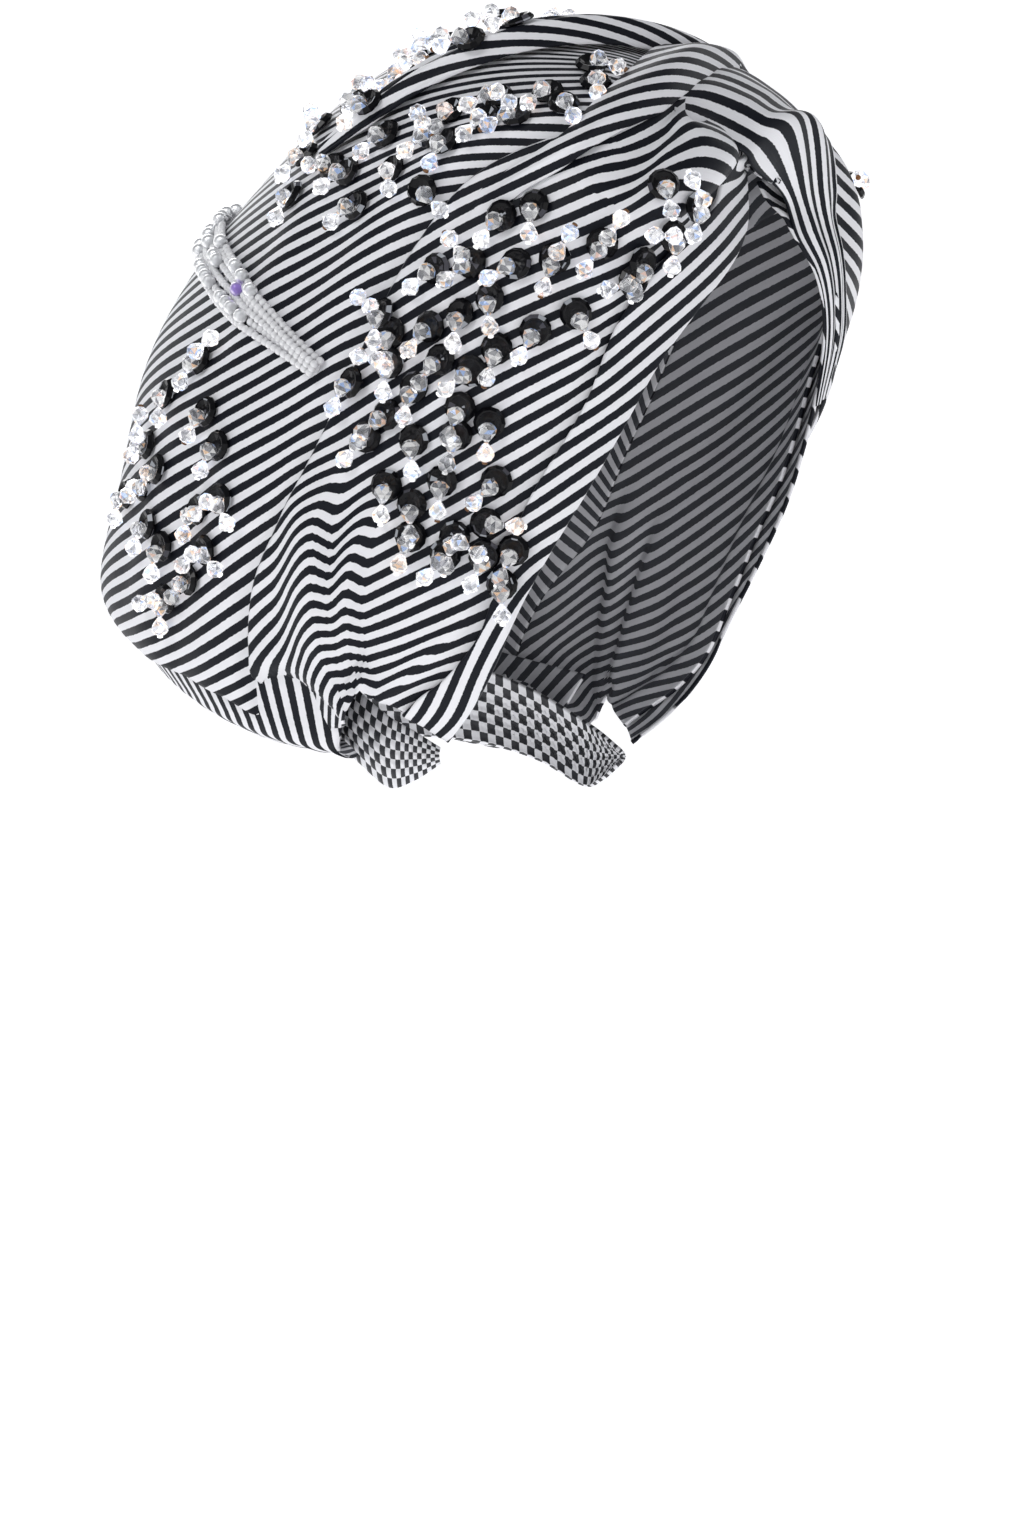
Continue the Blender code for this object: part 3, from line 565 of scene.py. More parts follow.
# %% Edges and slants
LAP_GAP, LAP, LAP_RISE = 0.0006, 0.008, 0.006
BAND_EDGE = (
    (0.00, 0.380), (0.03, 0.230), (0.07, 0.150), (0.12, 0.112), (0.20, 0.088), (0.31, 0.060),
    (0.43, 0.036), (0.60, 0.030), (0.70, 0.022), (0.77, 0.018), (0.83, 0.022), (0.90, 0.031), (0.95, 0.042), (1.00, 0.050),
)
BAG_EDGE = (
    (0.00, 0.390), (0.03, 0.270), (0.07, 0.215), (0.12, 0.200), (0.18, 0.215), (0.24, 0.235), (0.31, 0.226),
    (0.46, 0.203), (0.60, 0.180), (0.70, 0.172), (0.85, 0.188), (0.93, 0.180), (1.00, 0.165),
)
TRIM = (
    (0.000, 0.980), (0.030, 0.945), (0.060, 0.915), (0.084, 0.890), (0.096, 0.954), (0.125, 0.975), (0.150, 0.983),
    (0.166, 0.975), (0.209, 0.946), (0.253, 0.940), (0.500, 0.940),
)
TRIM_FROM = 0.78
# at, then degrees at the panel's low edge, its middle and its high edge
BAG_SLANT = (
    (0.00, -10, 0, 10), (0.10, -10, 0, 10), (0.15, -10, 0, 8), (0.21, -12, -2, 6), (0.27, -20, -4, 2),
    (0.33, -30, -10, -10), (0.39, -24, -25, -30), (0.45, -14, -33, -42), (0.57, -27, -32, -44),
    (0.69, -30, -52, -58), (0.81, -38, -52, -56), (0.93, -58, -72, -74), (1.00, -62, -76, -78),
)
SIDE_SLANT = (
    (0.00, -30, -10, 20), (0.15, -30, -8, 10), (0.27, -19, -8, -6), (0.33, -20, -17, -18), (0.45, -22, -22, -20),
    (0.57, -27, -26, -30), (0.69, -36, -34, -35), (0.78, -50, -42, -40), (0.87, -68, -44, -38), (0.91, -66, -14, -36),
    (0.95, -60, -12, -22), (1.00, -50, -4, -16),
)
BAND_SLANT = (
    (0.00, -54, -54, -54), (0.09, -50, -48, -44), (0.15, -42, -43, -41), (0.21, -35, -33, -29),
    (0.27, -34, -28, -21), (0.33, -28, -19, -11), (0.39, -24, -17, -13), (0.45, -27, -22, -22),
    (0.57, -28, -24, -24), (0.64, -31, -29, -28), (0.71, -10, -12, -14), (0.81, -8, -10, -12),
    (0.90, -20, -23, -26), (0.96, -46, -50, -54), (1.00, -58, -60, -62),
)


def trimmed(share, at):
    """The hoop that a row reaches at this share once the cloth is cut off above the casing."""
    side = np.minimum(share, 1 - share)
    stop = np.interp(side, [t[0] for t in TRIM], [t[1] for t in TRIM])
    return np.where(at <= TRIM_FROM, at, TRIM_FROM + (at - TRIM_FROM) * (stop - TRIM_FROM) / (1 - TRIM_FROM))


def edge_line(table, at):
    return along(table, at)[:, 0]


# %% Grid of a panel
def brow_sink(share, at):
    """Under the crossed wraps of the brow the panels lie deeper, clear of the layers over them."""
    return -0.0065 * (1 - ease((at - 0.035) / 0.07)) * ease((np.minimum(share, 1 - share) - 0.235) / 0.09)


def panel_grid(low, high, rows, columns, laps, swap=False, sink=None):
    """Shares, hoops, lifts and how far across the panel each point is. laps says, for each side, whether it runs
    in under a neighbour."""
    at = rows[:, None] + np.zeros(columns)
    low, high = low[:, None], high[:, None]
    metres = length(rows)[:, None]
    lap = LAP / metres
    inner = np.linspace(0, 1, columns)[None, :]
    t = inner - 0.10 * np.sin(2 * math.pi * inner) / math.pi
    from_low, to_high = low - lap * laps[0], high + lap * laps[1]
    share = from_low + (to_high - from_low) * t
    lift = np.zeros_like(share)
    for edge, sign, under in ((low, 1, laps[0]), (high, -1, laps[1])):
        inside = sign * (share - edge) * metres
        if under:
            lift -= (WALL + LAP_GAP) * (1 - ease((inside - 0.0012) / LAP_RISE))
        else:
            fold = 0.0010
            gone = np.clip(1 - inside / fold, 0, 1)
            lift -= 0.0009 * (1 - np.sqrt(np.maximum(1 - gone**2, 0)))
    place_at = trimmed(share, at)
    lift = lift + all_folds(share, place_at)
    lift = lift + brow_sink(share, at)
    if sink is not None:
        lift = lift + sink(at)
    over = np.clip((share - low) / (high - low), 0, 1)
    if swap:
        share, place_at, lift, over = (1 - share)[:, ::-1], place_at[:, ::-1], lift[:, ::-1], over[:, ::-1]
    return share, place_at, lift, over


def slant_wish(slants, share, at, over, mirrored=False):
    """The wished direction across the stripes, turned from the hoop by the slant table."""
    across = unit(sample(ACROSS, share, at))
    normal = unit(sample(OUT, share, at))
    down = np.cross(normal, across)
    down = down * np.sign((down * sample(DOWN, share, at)).sum(-1, keepdims=True))
    table = along(slants, at.reshape(-1)).reshape(*at.shape, 3)
    low, middle, high = table[..., 0], table[..., 1], table[..., 2]
    angle = np.where(over < 0.5, low + (middle - low) * over * 2, middle + (high - middle) * (over * 2 - 1))
    angle = np.radians(angle)[..., None]
    if mirrored:
        across = -across
    return across * np.cos(angle) + down * np.sin(angle)


def base_panel(name, low, high, rows, columns, laps, slants, nodes, swap=False, sink=None, shift=0.0):
    share, at, lift, over = panel_grid(low, high, rows, columns, laps, swap, sink)
    points = raised(share, at, lift)
    uv = lay_stripes(points, slant_wish(slants, share, at, over, swap), shift)
    uv[..., 1] -= PULL * pleats(share, at)
    return cloth_piece(name, points, uv, nodes)


# %% The crown bag
def bag_sink(at):
    return -0.0044 * (1 - ease((at - 0.05) / 0.06))


def band_sink(at):
    return -0.0030 * (1 - ease((at - 0.02) / 0.05))


bag_rows = np.linspace(0, 1, 150)
bag_low = edge_line(BAG_EDGE, bag_rows)


def bag_piece():
    share, at, lift, over = panel_grid(bag_low, 1 - bag_low, bag_rows, 170, (1, 1), sink=bag_sink)
    points = raised(share, at, lift)
    near = np.clip(2 * over, 0, 1)
    uv = lay_stripes(points, slant_wish(BAG_SLANT, share, at, near), evenness=0.6)
    uv[..., 1] -= PULL * pleats(share, at)
    return cloth_piece("bag_cloth", points, uv, ["crown_bag"])


bag = bag_piece()

# %% The side panels and the face band
side_rows = np.concatenate([np.linspace(0.12, 1, 110)])
band_rows = np.linspace(0, 1, 120)
side_low, side_high = edge_line(BAND_EDGE, side_rows), edge_line(BAG_EDGE, side_rows)
band_low, band_high = np.zeros(120), edge_line(BAND_EDGE, band_rows)
side_pieces = []
for side, swap in (("right", False), ("left", True)):
    side_pieces.append(base_panel(
        "side_cloth_" + side, side_low, side_high, side_rows, 60, (1, 0), SIDE_SLANT, ["side_panel_" + side],
        swap, shift=0.3))
    side_pieces.append(base_panel(
        "band_cloth_" + side, band_low, band_high, band_rows, 36, (0, 0), BAND_SLANT, ["face_band_" + side],
        swap, sink=band_sink if swap else None, shift=0.15))

# %% [markdown]
# ## The wraps of the brow
# The wraps are long strips twisted round each other at the front. Each is a strip along a centre line with a
# width and a height at a few stations, puffed in the middle, with its edges turned down to the cloth beneath. Fine
# ridges along the strip are the pleats that the twist draws into it. The picture's own stripe angles at each
# station steer the stripes.

# %% Strips
WRAP_GAP, TWIST_CLEAR = 0.0013, 0.0076
# Each row is one place along the piece and holds its rails, from one edge to the other:
# share, at, rise in mm, the stripe's angle in the picture
BROW_FOLD = (
    ((0.403, 0.154, 2.5, 50), (0.338, 0.146, 2.5, 55), (0.316, 0.142, 2.5, 40), (0.291, 0.138, 3.5, 10),
     (0.278, 0.129, 4.5, -10), (0.291, 0.117, 4.0, -20), (0.319, 0.113, 3.0, -25)),
    ((0.344, 0.158, 2.5, 40), (0.303, 0.154, 2.0, 50), (0.281, 0.150, 1.5, 60), (0.263, 0.138, 5.0, 36),
     (0.259, 0.121, 7.5, 0), (0.275, 0.096, 6.0, -18), (0.297, 0.083, 3.5, -25)),
    ((0.288, 0.171, 2.5, 32), (0.263, 0.167, 1.8, 38), (0.250, 0.154, 1.0, 58), (0.234, 0.142, 5.5, 46),
     (0.231, 0.117, 9.0, 5), (0.247, 0.079, 7.5, -22), (0.256, 0.058, 3.5, -30)),
    ((0.253, 0.200, 2.5, 26), (0.234, 0.188, 1.6, 29), (0.222, 0.167, 1.0, 52), (0.200, 0.163, 5.5, 42),
     (0.197, 0.129, 9.0, 2), (0.219, 0.079, 8.0, -26), (0.213, 0.052, 3.5, -36)),
    ((0.231, 0.229, 1.2, 23), (0.209, 0.217, 1.2, 24), (0.188, 0.196, 1.0, 42), (0.169, 0.192, 5.0, 34),
     (0.163, 0.167, 8.5, -6), (0.172, 0.113, 7.5, -26), (0.163, 0.094, 3.5, -36)),
    ((0.213, 0.263, 0.0, 22), (0.188, 0.246, 0.8, 22), (0.169, 0.217, 0.8, 32), (0.150, 0.217, 4.0, 34),
     (0.141, 0.204, 6.5, 14), (0.134, 0.175, 6.0, -14), (0.128, 0.160, 3.0, -24)),
    ((0.200, 0.296, -0.8, 22), (0.172, 0.275, 0.2, 22), (0.147, 0.246, 0.4, 26), (0.131, 0.250, 2.2, 28),
     (0.122, 0.246, 3.6, 22), (0.116, 0.225, 3.6, 4), (0.107, 0.219, 1.8, -8)),
    ((0.191, 0.342, -2.2, 22), (0.153, 0.331, -2.2, 22), (0.122, 0.312, -2.2, 24), (0.109, 0.312, -2.0, 24),
     (0.103, 0.308, -1.8, 22), (0.094, 0.304, -1.8, 16), (0.084, 0.302, -2.2, 12)),
)
BROW_ROLL = (
    ((0.580, 0.196, 1.6, -35), (0.590, 0.184, 5.5, -12), (0.580, 0.170, 1.6, 5)),
    ((0.552, 0.208, 4.0, -12), (0.540, 0.182, 9.0, 4), (0.520, 0.160, 4.0, 10)),
    ((0.490, 0.212, 4.5, 4), (0.430, 0.172, 10.0, 13), (0.406, 0.146, 4.0, 15)),
    ((0.420, 0.208, 4.5, 12), (0.350, 0.172, 9.5, 17), (0.325, 0.148, 3.6, 18)),
    ((0.366, 0.206, 4.0, 18), (0.300, 0.184, 8.6, 20), (0.272, 0.161, 3.4, 22)),
    ((0.309, 0.214, 4.0, 20), (0.262, 0.205, 7.8, 22), (0.241, 0.190, 3.0, 24)),
    ((0.266, 0.236, 3.6, 22), (0.232, 0.233, 6.6, 24), (0.216, 0.229, 2.6, 26)),
    ((0.232, 0.266, 3.0, 24), (0.212, 0.263, 5.4, 26), (0.200, 0.263, 2.0, 26)),
    ((0.218, 0.292, 2.4, 24), (0.202, 0.292, 4.2, 26), (0.190, 0.292, 1.6, 26)),
    ((0.208, 0.329, 1.6, 22), (0.194, 0.331, 2.8, 24), (0.182, 0.338, 0.8, 24)),
    ((0.202, 0.367, 0.4, 20), (0.188, 0.372, 1.4, 22), (0.176, 0.379, -0.4, 22)),
    ((0.198, 0.398, -1.2, 20), (0.188, 0.404, -0.6, 22), (0.180, 0.415, -1.4, 22)),
)
INNER_WRAP = (
    ((0.290, 0.148, 1.6, 0), (0.350, 0.164, 3.5, 0), (0.400, 0.188, 4.0, 0)),
    ((0.288, 0.122, 1.6, 0), (0.410, 0.142, 5.4, 0), (0.530, 0.168, 6.0, 0)),
    ((0.284, 0.084, 1.8, 0), (0.450, 0.112, 7.2, 0), (0.585, 0.138, 7.6, 0)),
    ((0.255, 0.046, 3.6, 0), (0.440, 0.068, 8.6, 0), (0.625, 0.098, 8.2, 0)),
    ((0.200, 0.006, 4.0, 0), (0.500, 0.022, 9.4, 0), (0.690, 0.060, 8.6, 0)),
    ((1.000, 0.035, 2.4, 0), (0.890, 0.038, 7.6, 0), (0.781, 0.046, 8.4, 0)),
    ((1.000, 0.100, 0.4, 0), (0.930, 0.090, 5.0, 0), (0.870, 0.080, 7.0, 0)),
    ((1.000, 0.170, 0.2, 0), (0.970, 0.158, 4.0, 0), (0.940, 0.145, 6.4, 0)),
    ((1.000, 0.240, 0.0, 0), (0.985, 0.224, 3.0, 0), (0.970, 0.205, 5.4, 0)),
    ((1.000, 0.310, 0.0, 0), (0.990, 0.300, 2.4, 0), (0.978, 0.290, 4.6, 0)),
    ((1.000, 0.390, 0.0, 0), (0.992, 0.385, 1.8, 0), (0.982, 0.380, 3.6, 0)),
)
# share, at, half width, rise, then the stripe's angle in the picture at the near edge, middle and far edge
TOP_ROLL = (
    (0.560, 0.185, 0.0075, 0.0070, 148, 148, 148),
    (0.500, 0.205, 0.0085, 0.0084, 158, 158, 158),
    (0.440, 0.238, 0.0090, 0.0092, 176, 172, 170),
    (0.378, 0.298, 0.0085, 0.0084, 186, 186, 186),
    (0.340, 0.360, 0.0070, 0.0066, 198, 198, 198),
    (0.330, 0.420, 0.0055, 0.0050, 206, 206, 206),
    (0.335, 0.480, 0.0035, 0.0036, 212, 212, 212),
)
LEFT_WRAP = (
    (0.565, 0.150, 0.0085, 0.0040, 150, 150, 150),
    (0.680, 0.105, 0.0120, 0.0066, 147, 147, 147),
    (0.800, 0.105, 0.0150, 0.0080, 146, 148, 150),
    (0.868, 0.155, 0.0200, 0.0062, 138, 148, 150),
    (0.902, 0.225, 0.0240, 0.0044, 120, 138, 145),
    (0.925, 0.305, 0.0240, 0.0042, 104, 115, 120),
    (0.940, 0.385, 0.0200, 0.0060, 92, 96, 100),
    (0.946, 0.465, 0.0130, 0.0050, 80, 80, 80),
)
UP = Vector((0, 0, 1))


def picture_wish(angles, points):
    """The direction across stripes that show at these angles in the picture."""
    right, up, view = np.array(PICTURE_RIGHT), np.array(UP), np.array(TO_CAMERA)
    normals = grid_normals(points)
    angles = np.radians(angles)[..., None]
    drawn = np.cos(angles) * right + np.sin(angles) * up
    facing = np.maximum((normals * view).sum(-1, keepdims=True), 0.2)
    stripe = drawn * facing - view * (normals * drawn).sum(-1, keepdims=True)
    return unit(np.cross(normals, stripe))


def strip_piece(name, stations, rows, columns, nodes, pleats=(), flat=0.0, shift=0.0):
    table = [(i, *s) for i, s in enumerate(stations)]
    last = len(stations) - 1
    on = np.linspace(0, last, rows)
    data = along(table, on)
    share, at, half, rise = (data[:, k] for k in range(4))
    ahead, behind = along(table, np.minimum(on + 0.05, last)), along(table, np.maximum(on - 0.05, 0))
    run, down = sample(ACROSS, share, at), sample(DOWN, share, at)
    way = run * (ahead[:, :1] - behind[:, :1]) + down * (ahead[:, 1:2] - behind[:, 1:2])
    cross = unit(np.cross(unit(sample(OUT, share, at)), way))
    aa, bb, ab = (run * run).sum(1), (down * down).sum(1), (run * down).sum(1)
    ca, cb = (cross * run).sum(1), (cross * down).sum(1)
    scale = aa * bb - ab * ab
    to_share, to_at = (ca * bb - cb * ab) / scale, (cb * aa - ca * ab) / scale
    s = np.sin(np.linspace(-1, 1, columns) * math.pi / 2)[None, :]
    edge = max(WALL + WRAP_GAP, flat)
    puff = np.maximum(np.cos(s * math.pi / 2), 0) ** 0.8
    lift = edge + (rise[:, None] - edge) * puff
    t = (on / last)[:, None]
    for count, high, lean, fade in pleats:
        wave = np.cos((s + lean * t) * math.pi * count)
        lift = lift + high * wave * puff**0.5 * np.sin(math.pi * np.clip(t, 0.02, 0.98)) ** fade
    gone = np.clip((np.abs(s) - 0.93) / 0.07, 0, 1)
    lift = lift - 0.0010 * (1 - np.sqrt(np.maximum(1 - gone**2, 0)))
    a = np.clip(share[:, None] + to_share[:, None] * s * half[:, None], 0.004, 0.996)
    b = np.clip(at[:, None] + to_at[:, None] * s * half[:, None], 0.004, 1.0)
    points = raised(a, b, lift + ridges(SOFT_FOLDS, a, b))
    angles = data[:, 4:7]
    over = (s + 1) / 2
    angle = np.where(over < 0.5, angles[:, :1] + (angles[:, 1:2] - angles[:, :1]) * over * 2,
                     angles[:, 1:2] + (angles[:, 2:] - angles[:, 1:2]) * (over * 2 - 1))
    points, angle = points[:, ::-1], angle[:, ::-1]
    uv = lay_stripes(points, picture_wish(angle, points), shift)
    return cloth_piece(name, points, uv, nodes)


# %% Sheets between rails
def rail_piece(name, table, rows, columns, nodes, waves=(), stripes=None, meets=None, first_rail=0.0):
    """A sheet through rails that lie at set heights over the form. meets names the piece that its last rows sink
    into, and first_rail is the share of its width, from the first rail, that does so too."""
    rails = np.array(table, float)
    stations, count = rails.shape[:2]
    marks = raised(rails[..., 0], rails[..., 1], rails[..., 2] / 1000)
    values = np.concatenate([marks, rails[..., 3:]], -1).reshape(stations, -1)
    on = np.linspace(0, stations - 1, rows)
    lengthwise = along([(i, *row) for i, row in enumerate(values)], on).reshape(rows, count, 4)
    turned_rails = lengthwise.transpose(1, 0, 2).reshape(count, -1)
    s = (1 - np.cos(np.linspace(0, math.pi, columns))) / 2 * 0.5 + np.linspace(0, 1, columns) * 0.5
    grid = along([(i, *row) for i, row in enumerate(turned_rails)], s * (count - 1)).reshape(columns, rows, 4)
    grid = grid.transpose(1, 0, 2)
    points, angle = grid[..., :3], grid[..., 3]
    s, t = s[None, :], np.linspace(0, 1, rows)[:, None]
    normals = grid_normals(points)
    if (normals * unit(sample(OUT, rails[stations // 2, 1, 0], rails[stations // 2, 1, 1]))).sum(-1).mean() < 0:
        points, angle, s = points[:, ::-1], angle[:, ::-1], s[:, ::-1]
        normals = grid_normals(points)
    lift = np.zeros((rows, columns))
    for turns, high, lean in waves:
        wave = np.cos((s + lean * t) * 2 * math.pi * turns)
        lift += high * wave * np.sin(math.pi * s) ** 0.5 * np.sin(math.pi * np.clip(t, 0.03, 0.97)) ** 0.4
    gone = np.clip(1 - np.minimum(s, 1 - s) / 0.035, 0, 1)
    lift = lift - 0.0010 * (1 - np.sqrt(np.maximum(1 - gone**2, 0)))
    points = points + normals * lift[..., None]
    if stripes:
        run = np.concatenate([np.zeros((1, columns)), np.cumsum(np.linalg.norm(np.diff(points, axis=0), axis=-1), 0)])
        uv = np.stack([run, s * stripes * STRIPE + np.zeros_like(run)], -1)
    else:
        sewn = (s <= first_rail) & (t > 0.55) | (t > 0.94) & (s >= 0)
        uv = lay_stripes(points, picture_wish(angle, points), tied=(sewn * 4e6, neighbour_stripes(points, sewn, meets)))
    return cloth_piece(name, points, uv, nodes)


def neighbour_stripes(points, sewn, other):
    """The value of another piece's stripes at the points that are sewn to it, from its four nearest vertices."""
    mesh = other.data
    places = np.array([v.co for v in mesh.vertices])
    values = np.zeros(len(places))
    for loop in mesh.loops:
        values[loop.vertex_index] = mesh.uv_layers["cloth"].data[loop.index].uv[1]
    found = np.zeros(points.shape[:2])
    for row, column in np.argwhere(sewn):
        away = np.linalg.norm(places - points[row, column], axis=1)
        near = np.argpartition(away, 4)[:4]
        trust = 1 / (away[near] + 1e-5) ** 2
        found[row, column] = (trust * values[near]).sum() / trust.sum()
    return found


brow_fold = rail_piece("brow_fold_cloth", BROW_FOLD, 120, 100, ["brow_fold_right"], meets=side_pieces[0],
                       first_rail=0.20)
brow_roll = rail_piece("brow_roll_cloth", BROW_ROLL, 140, 40, ["front_twist"], ((2.0, 0.0003, 0.6),),
                       meets=side_pieces[0], first_rail=-1.0)
inner_wrap = rail_piece("inner_wrap_cloth", INNER_WRAP, 120, 60, [], ((2.5, 0.0007, 0.15),), stripes=6.5)
left_wrap = strip_piece("outer_wrap_cloth", LEFT_WRAP, 110, 56, ["brow_wrap_left"],
                        ((2.0, 0.0006, 0.2, 0.4),), shift=0.4)
top_roll = strip_piece("top_roll_cloth", TOP_ROLL, 110, 40, ["top_roll"],
                       ((2.0, -0.0011, 0.25, 0.4), (4.5, 0.0003, -0.7, 0.7)))

# %% [markdown]
# ## The nape
# Elastic sewn through the casing draws the striped cloth up into rows of small puffs, so its stripes break up into
# a black and white check. The cloth under the bag hangs from the bag's lower edge to the casing.

# %% Smocked cloth
CHECK = 0.0029


def smocked_satin():
    made, nodes, links, shader = new_material("smocked_satin")
    cloth_map = nodes.new("ShaderNodeUVMap")
    cloth_map.uv_map = "cloth"
    check = nodes.new("ShaderNodeTexChecker")
    check.inputs["Scale"].default_value = 1.0
    check.inputs["Color1"].default_value = (*INK, 1)
    check.inputs["Color2"].default_value = (*CHALK, 1)
    links.new(cloth_map.outputs["UV"], check.inputs["Vector"])
    place = nodes.new("ShaderNodeTexCoord").outputs["Object"]
    cloudy = noise(nodes, links, place, 60, 3)
    shade = math_node(nodes, links, "MULTIPLY", cloudy, 0.10)
    links.new(mix_color(nodes, links, shade, check.outputs["Color"], (0.25, 0.25, 0.28)), shader.inputs["Base Color"])
    links.new(math_node(nodes, links, "MULTIPLY_ADD", cloudy, 0.2, 0.4), shader.inputs["Roughness"])
    links.new(bump(nodes, links, noise(nodes, links, place, 420, 2), 0.0002), shader.inputs["Normal"])
    shader.inputs["Sheen Weight"].default_value = 0.12
    return made


smocked = smocked_satin()

# %% Casing and base of the bag
CASING_DEPTH, SMOCK_RELIEF, CASING_BOW, BASE_SEAM = 0.026, 0.0012, 0.0020, 0.8
BELLY = 0.008
# at, half, reach, drop, tall
NAPE = (
    (0.00, 0.640, 0.003, 1.004, 0.20), (0.15, 0.668, 0.055, 1.004, 0.60), (0.30, 0.685, 0.110, 0.998, 0.86),
    (0.45, 0.640, 0.200, 0.962, 0.88), (0.60, 0.545, 0.285, 0.936, 0.94), (0.80, 0.305, 0.365, 0.920, 1.00),
    (1.00, 0.000, 0.397, 0.915, 1.00),
)


def nape_line(at):
    """Middle points of the casing and its height, from the right end at 0 to the left end at 2."""
    at = np.asarray(at, float)
    table = along(NAPE, np.minimum(at, 2 - at).reshape(-1)).reshape(*at.shape, 4)
    x = np.where(at <= 1, -1, 1) * table[..., 0] * HALF_WIDTH
    return np.stack([x, table[..., 1] * BACK_REACH, WALL - table[..., 2] * HEIGHT], -1), table[..., 3] * CASING_DEPTH


def nape_out(at):
    way = nape_line(np.minimum(at + 0.02, 2))[0] - nape_line(np.maximum(at - 0.02, 0))[0]
    return unit(np.cross((0, 0, 1.0), way))


def casing_piece(levels=40, columns=380):
    at = np.linspace(0, 2, columns)[None, :] + np.zeros((levels, 1))
    t = np.linspace(0, 1, levels)[:, None] + np.zeros((1, columns))
    middle, tall = nape_line(at)
    checks_down = 7
    metres = 0.235
    cells = at / 2 * metres / CHECK
    puff = np.abs(np.sin(math.pi * t * checks_down)) ** 0.6 * np.abs(np.sin(math.pi * cells)) ** 0.6
    out = CASING_BOW * np.sin(math.pi * t) + SMOCK_RELIEF * (puff - 0.35) * np.sin(math.pi * np.clip(t, 0.12, 0.88))
    points = middle + nape_out(at) * out[..., None] + np.array([0, 0, 1.0]) * (tall * (0.5 - t))[..., None]
    uv = np.stack([cells, t * checks_down], -1) + 0.001
    piece = cloth_piece("casing_cloth", points, uv * CHECK, ["nape_casing"], finishes=(smocked, smocked))
    layer = piece.data.uv_layers["cloth"].data
    for entry in layer:
        entry.uv = entry.uv / CHECK
    return piece


casing = casing_piece()


def base_piece(rows=60, columns=150):
    """From behind the hem of the bag round its lower edge and forward to the casing."""
    stand = (CASING_BOW + SMOCK_RELIEF) * math.sin(math.pi * BASE_SEAM) + LAP_GAP
    c = np.linspace(0, 1, columns)
    share = 0.100 + 0.800 * c
    middle, tall = nape_line(0.40 + 1.20 * c)
    seam = middle + nape_out(0.40 + 1.20 * c) * stand - np.array([0, 0, 1.0]) * (tall * (BASE_SEAM - 0.5))[..., None]
    corner = raised(share, np.full_like(share, 0.998), np.full_like(share, -0.0022))
    belly = (corner + seam) / 2 - np.array([0, 0, 1.0]) * (BELLY * np.sin(math.pi * np.clip(c, 0.06, 0.94)))[:, None]
    rails = [raised(share, np.full_like(share, at), np.full_like(share, lift))
             for at, lift in ((0.88, -0.0036), (0.93, -0.0032), (0.975, -0.0012))] + [corner, belly, seam]
    spots = np.linspace(0, 5, rows)
    points = along([(i, *rail.reshape(-1)) for i, rail in enumerate(rails)], spots).reshape(rows, columns, 3)
    t = spots[:, None] / 5
    pucker = 0.0010 * np.sin(2 * math.pi * c[None, :] * 30) * np.clip(t * 2 - 1, 0, 1) * np.sin(math.pi * t)
    points[..., 2] -= pucker
    down = np.concatenate([np.zeros((1, columns)), np.cumsum(np.linalg.norm(np.diff(points, axis=0), axis=-1), 0)])
    edge = points[round(rows * 0.6)]
    round_edge = np.concatenate([[0.0], np.cumsum(np.linalg.norm(np.diff(edge, axis=0), axis=-1))])
    uv = np.stack([down, round_edge[None, :] + 0.25 * down], -1)
    return cloth_piece("bag_base_cloth", points, uv, ["bag_base"])


bag_base = base_piece()

# %% [markdown]
# ## Stones
# Each ornament is a faceted cup paillette, black and glossy, held down by a pair of clear cut drops that point
# away from its hole, with a tiny brown bead as the stop. A few good small meshes are made once and then
# copied into place by a matrix each, joined as one mesh for each field.

# %% Glossy black and clear glass
def facet_steps(nodes, links, stops):
    """One of a few colours for each facet, picked by the facet's own random number."""
    number = nodes.new("ShaderNodeAttribute")
    number.attribute_name = "facet"
    ramp = nodes.new("ShaderNodeValToRGB")
    ramp.color_ramp.interpolation = "CONSTANT"
    while len(ramp.color_ramp.elements) < len(stops):
        ramp.color_ramp.elements.new(0.5)
    for element, (spot, color) in zip(ramp.color_ramp.elements, stops):
        element.position = spot
        element.color = (*color, 1)
    links.new(number.outputs["Fac"], ramp.inputs["Fac"])
    return ramp.outputs["Color"]


def black_gloss():
    made, nodes, links, shader = new_material("black_gloss")
    place = nodes.new("ShaderNodeTexCoord").outputs["Object"]
    dust = noise(nodes, links, place, 300, 2)
    links.new(mix_color(nodes, links, dust, (0.002, 0.002, 0.003), (0.005, 0.005, 0.006)), shader.inputs["Base Color"])
    links.new(math_node(nodes, links, "MULTIPLY_ADD", dust, 0.10, 0.05), shader.inputs["Roughness"])
    shader.inputs["Specular IOR Level"].default_value = 0.16
    # Painted glints: a few random facets of the cups glow grey or grey-white in place of reflections of the lights
    painted_glints = ((0.0, (0.0, 0.0, 0.0)), (0.93, (0.10, 0.10, 0.12)), (0.965, (0.55, 0.58, 0.64)))
    links.new(facet_steps(nodes, links, painted_glints), shader.inputs["Emission Color"])
    shader.inputs["Emission Strength"].default_value = 0.5
    return made


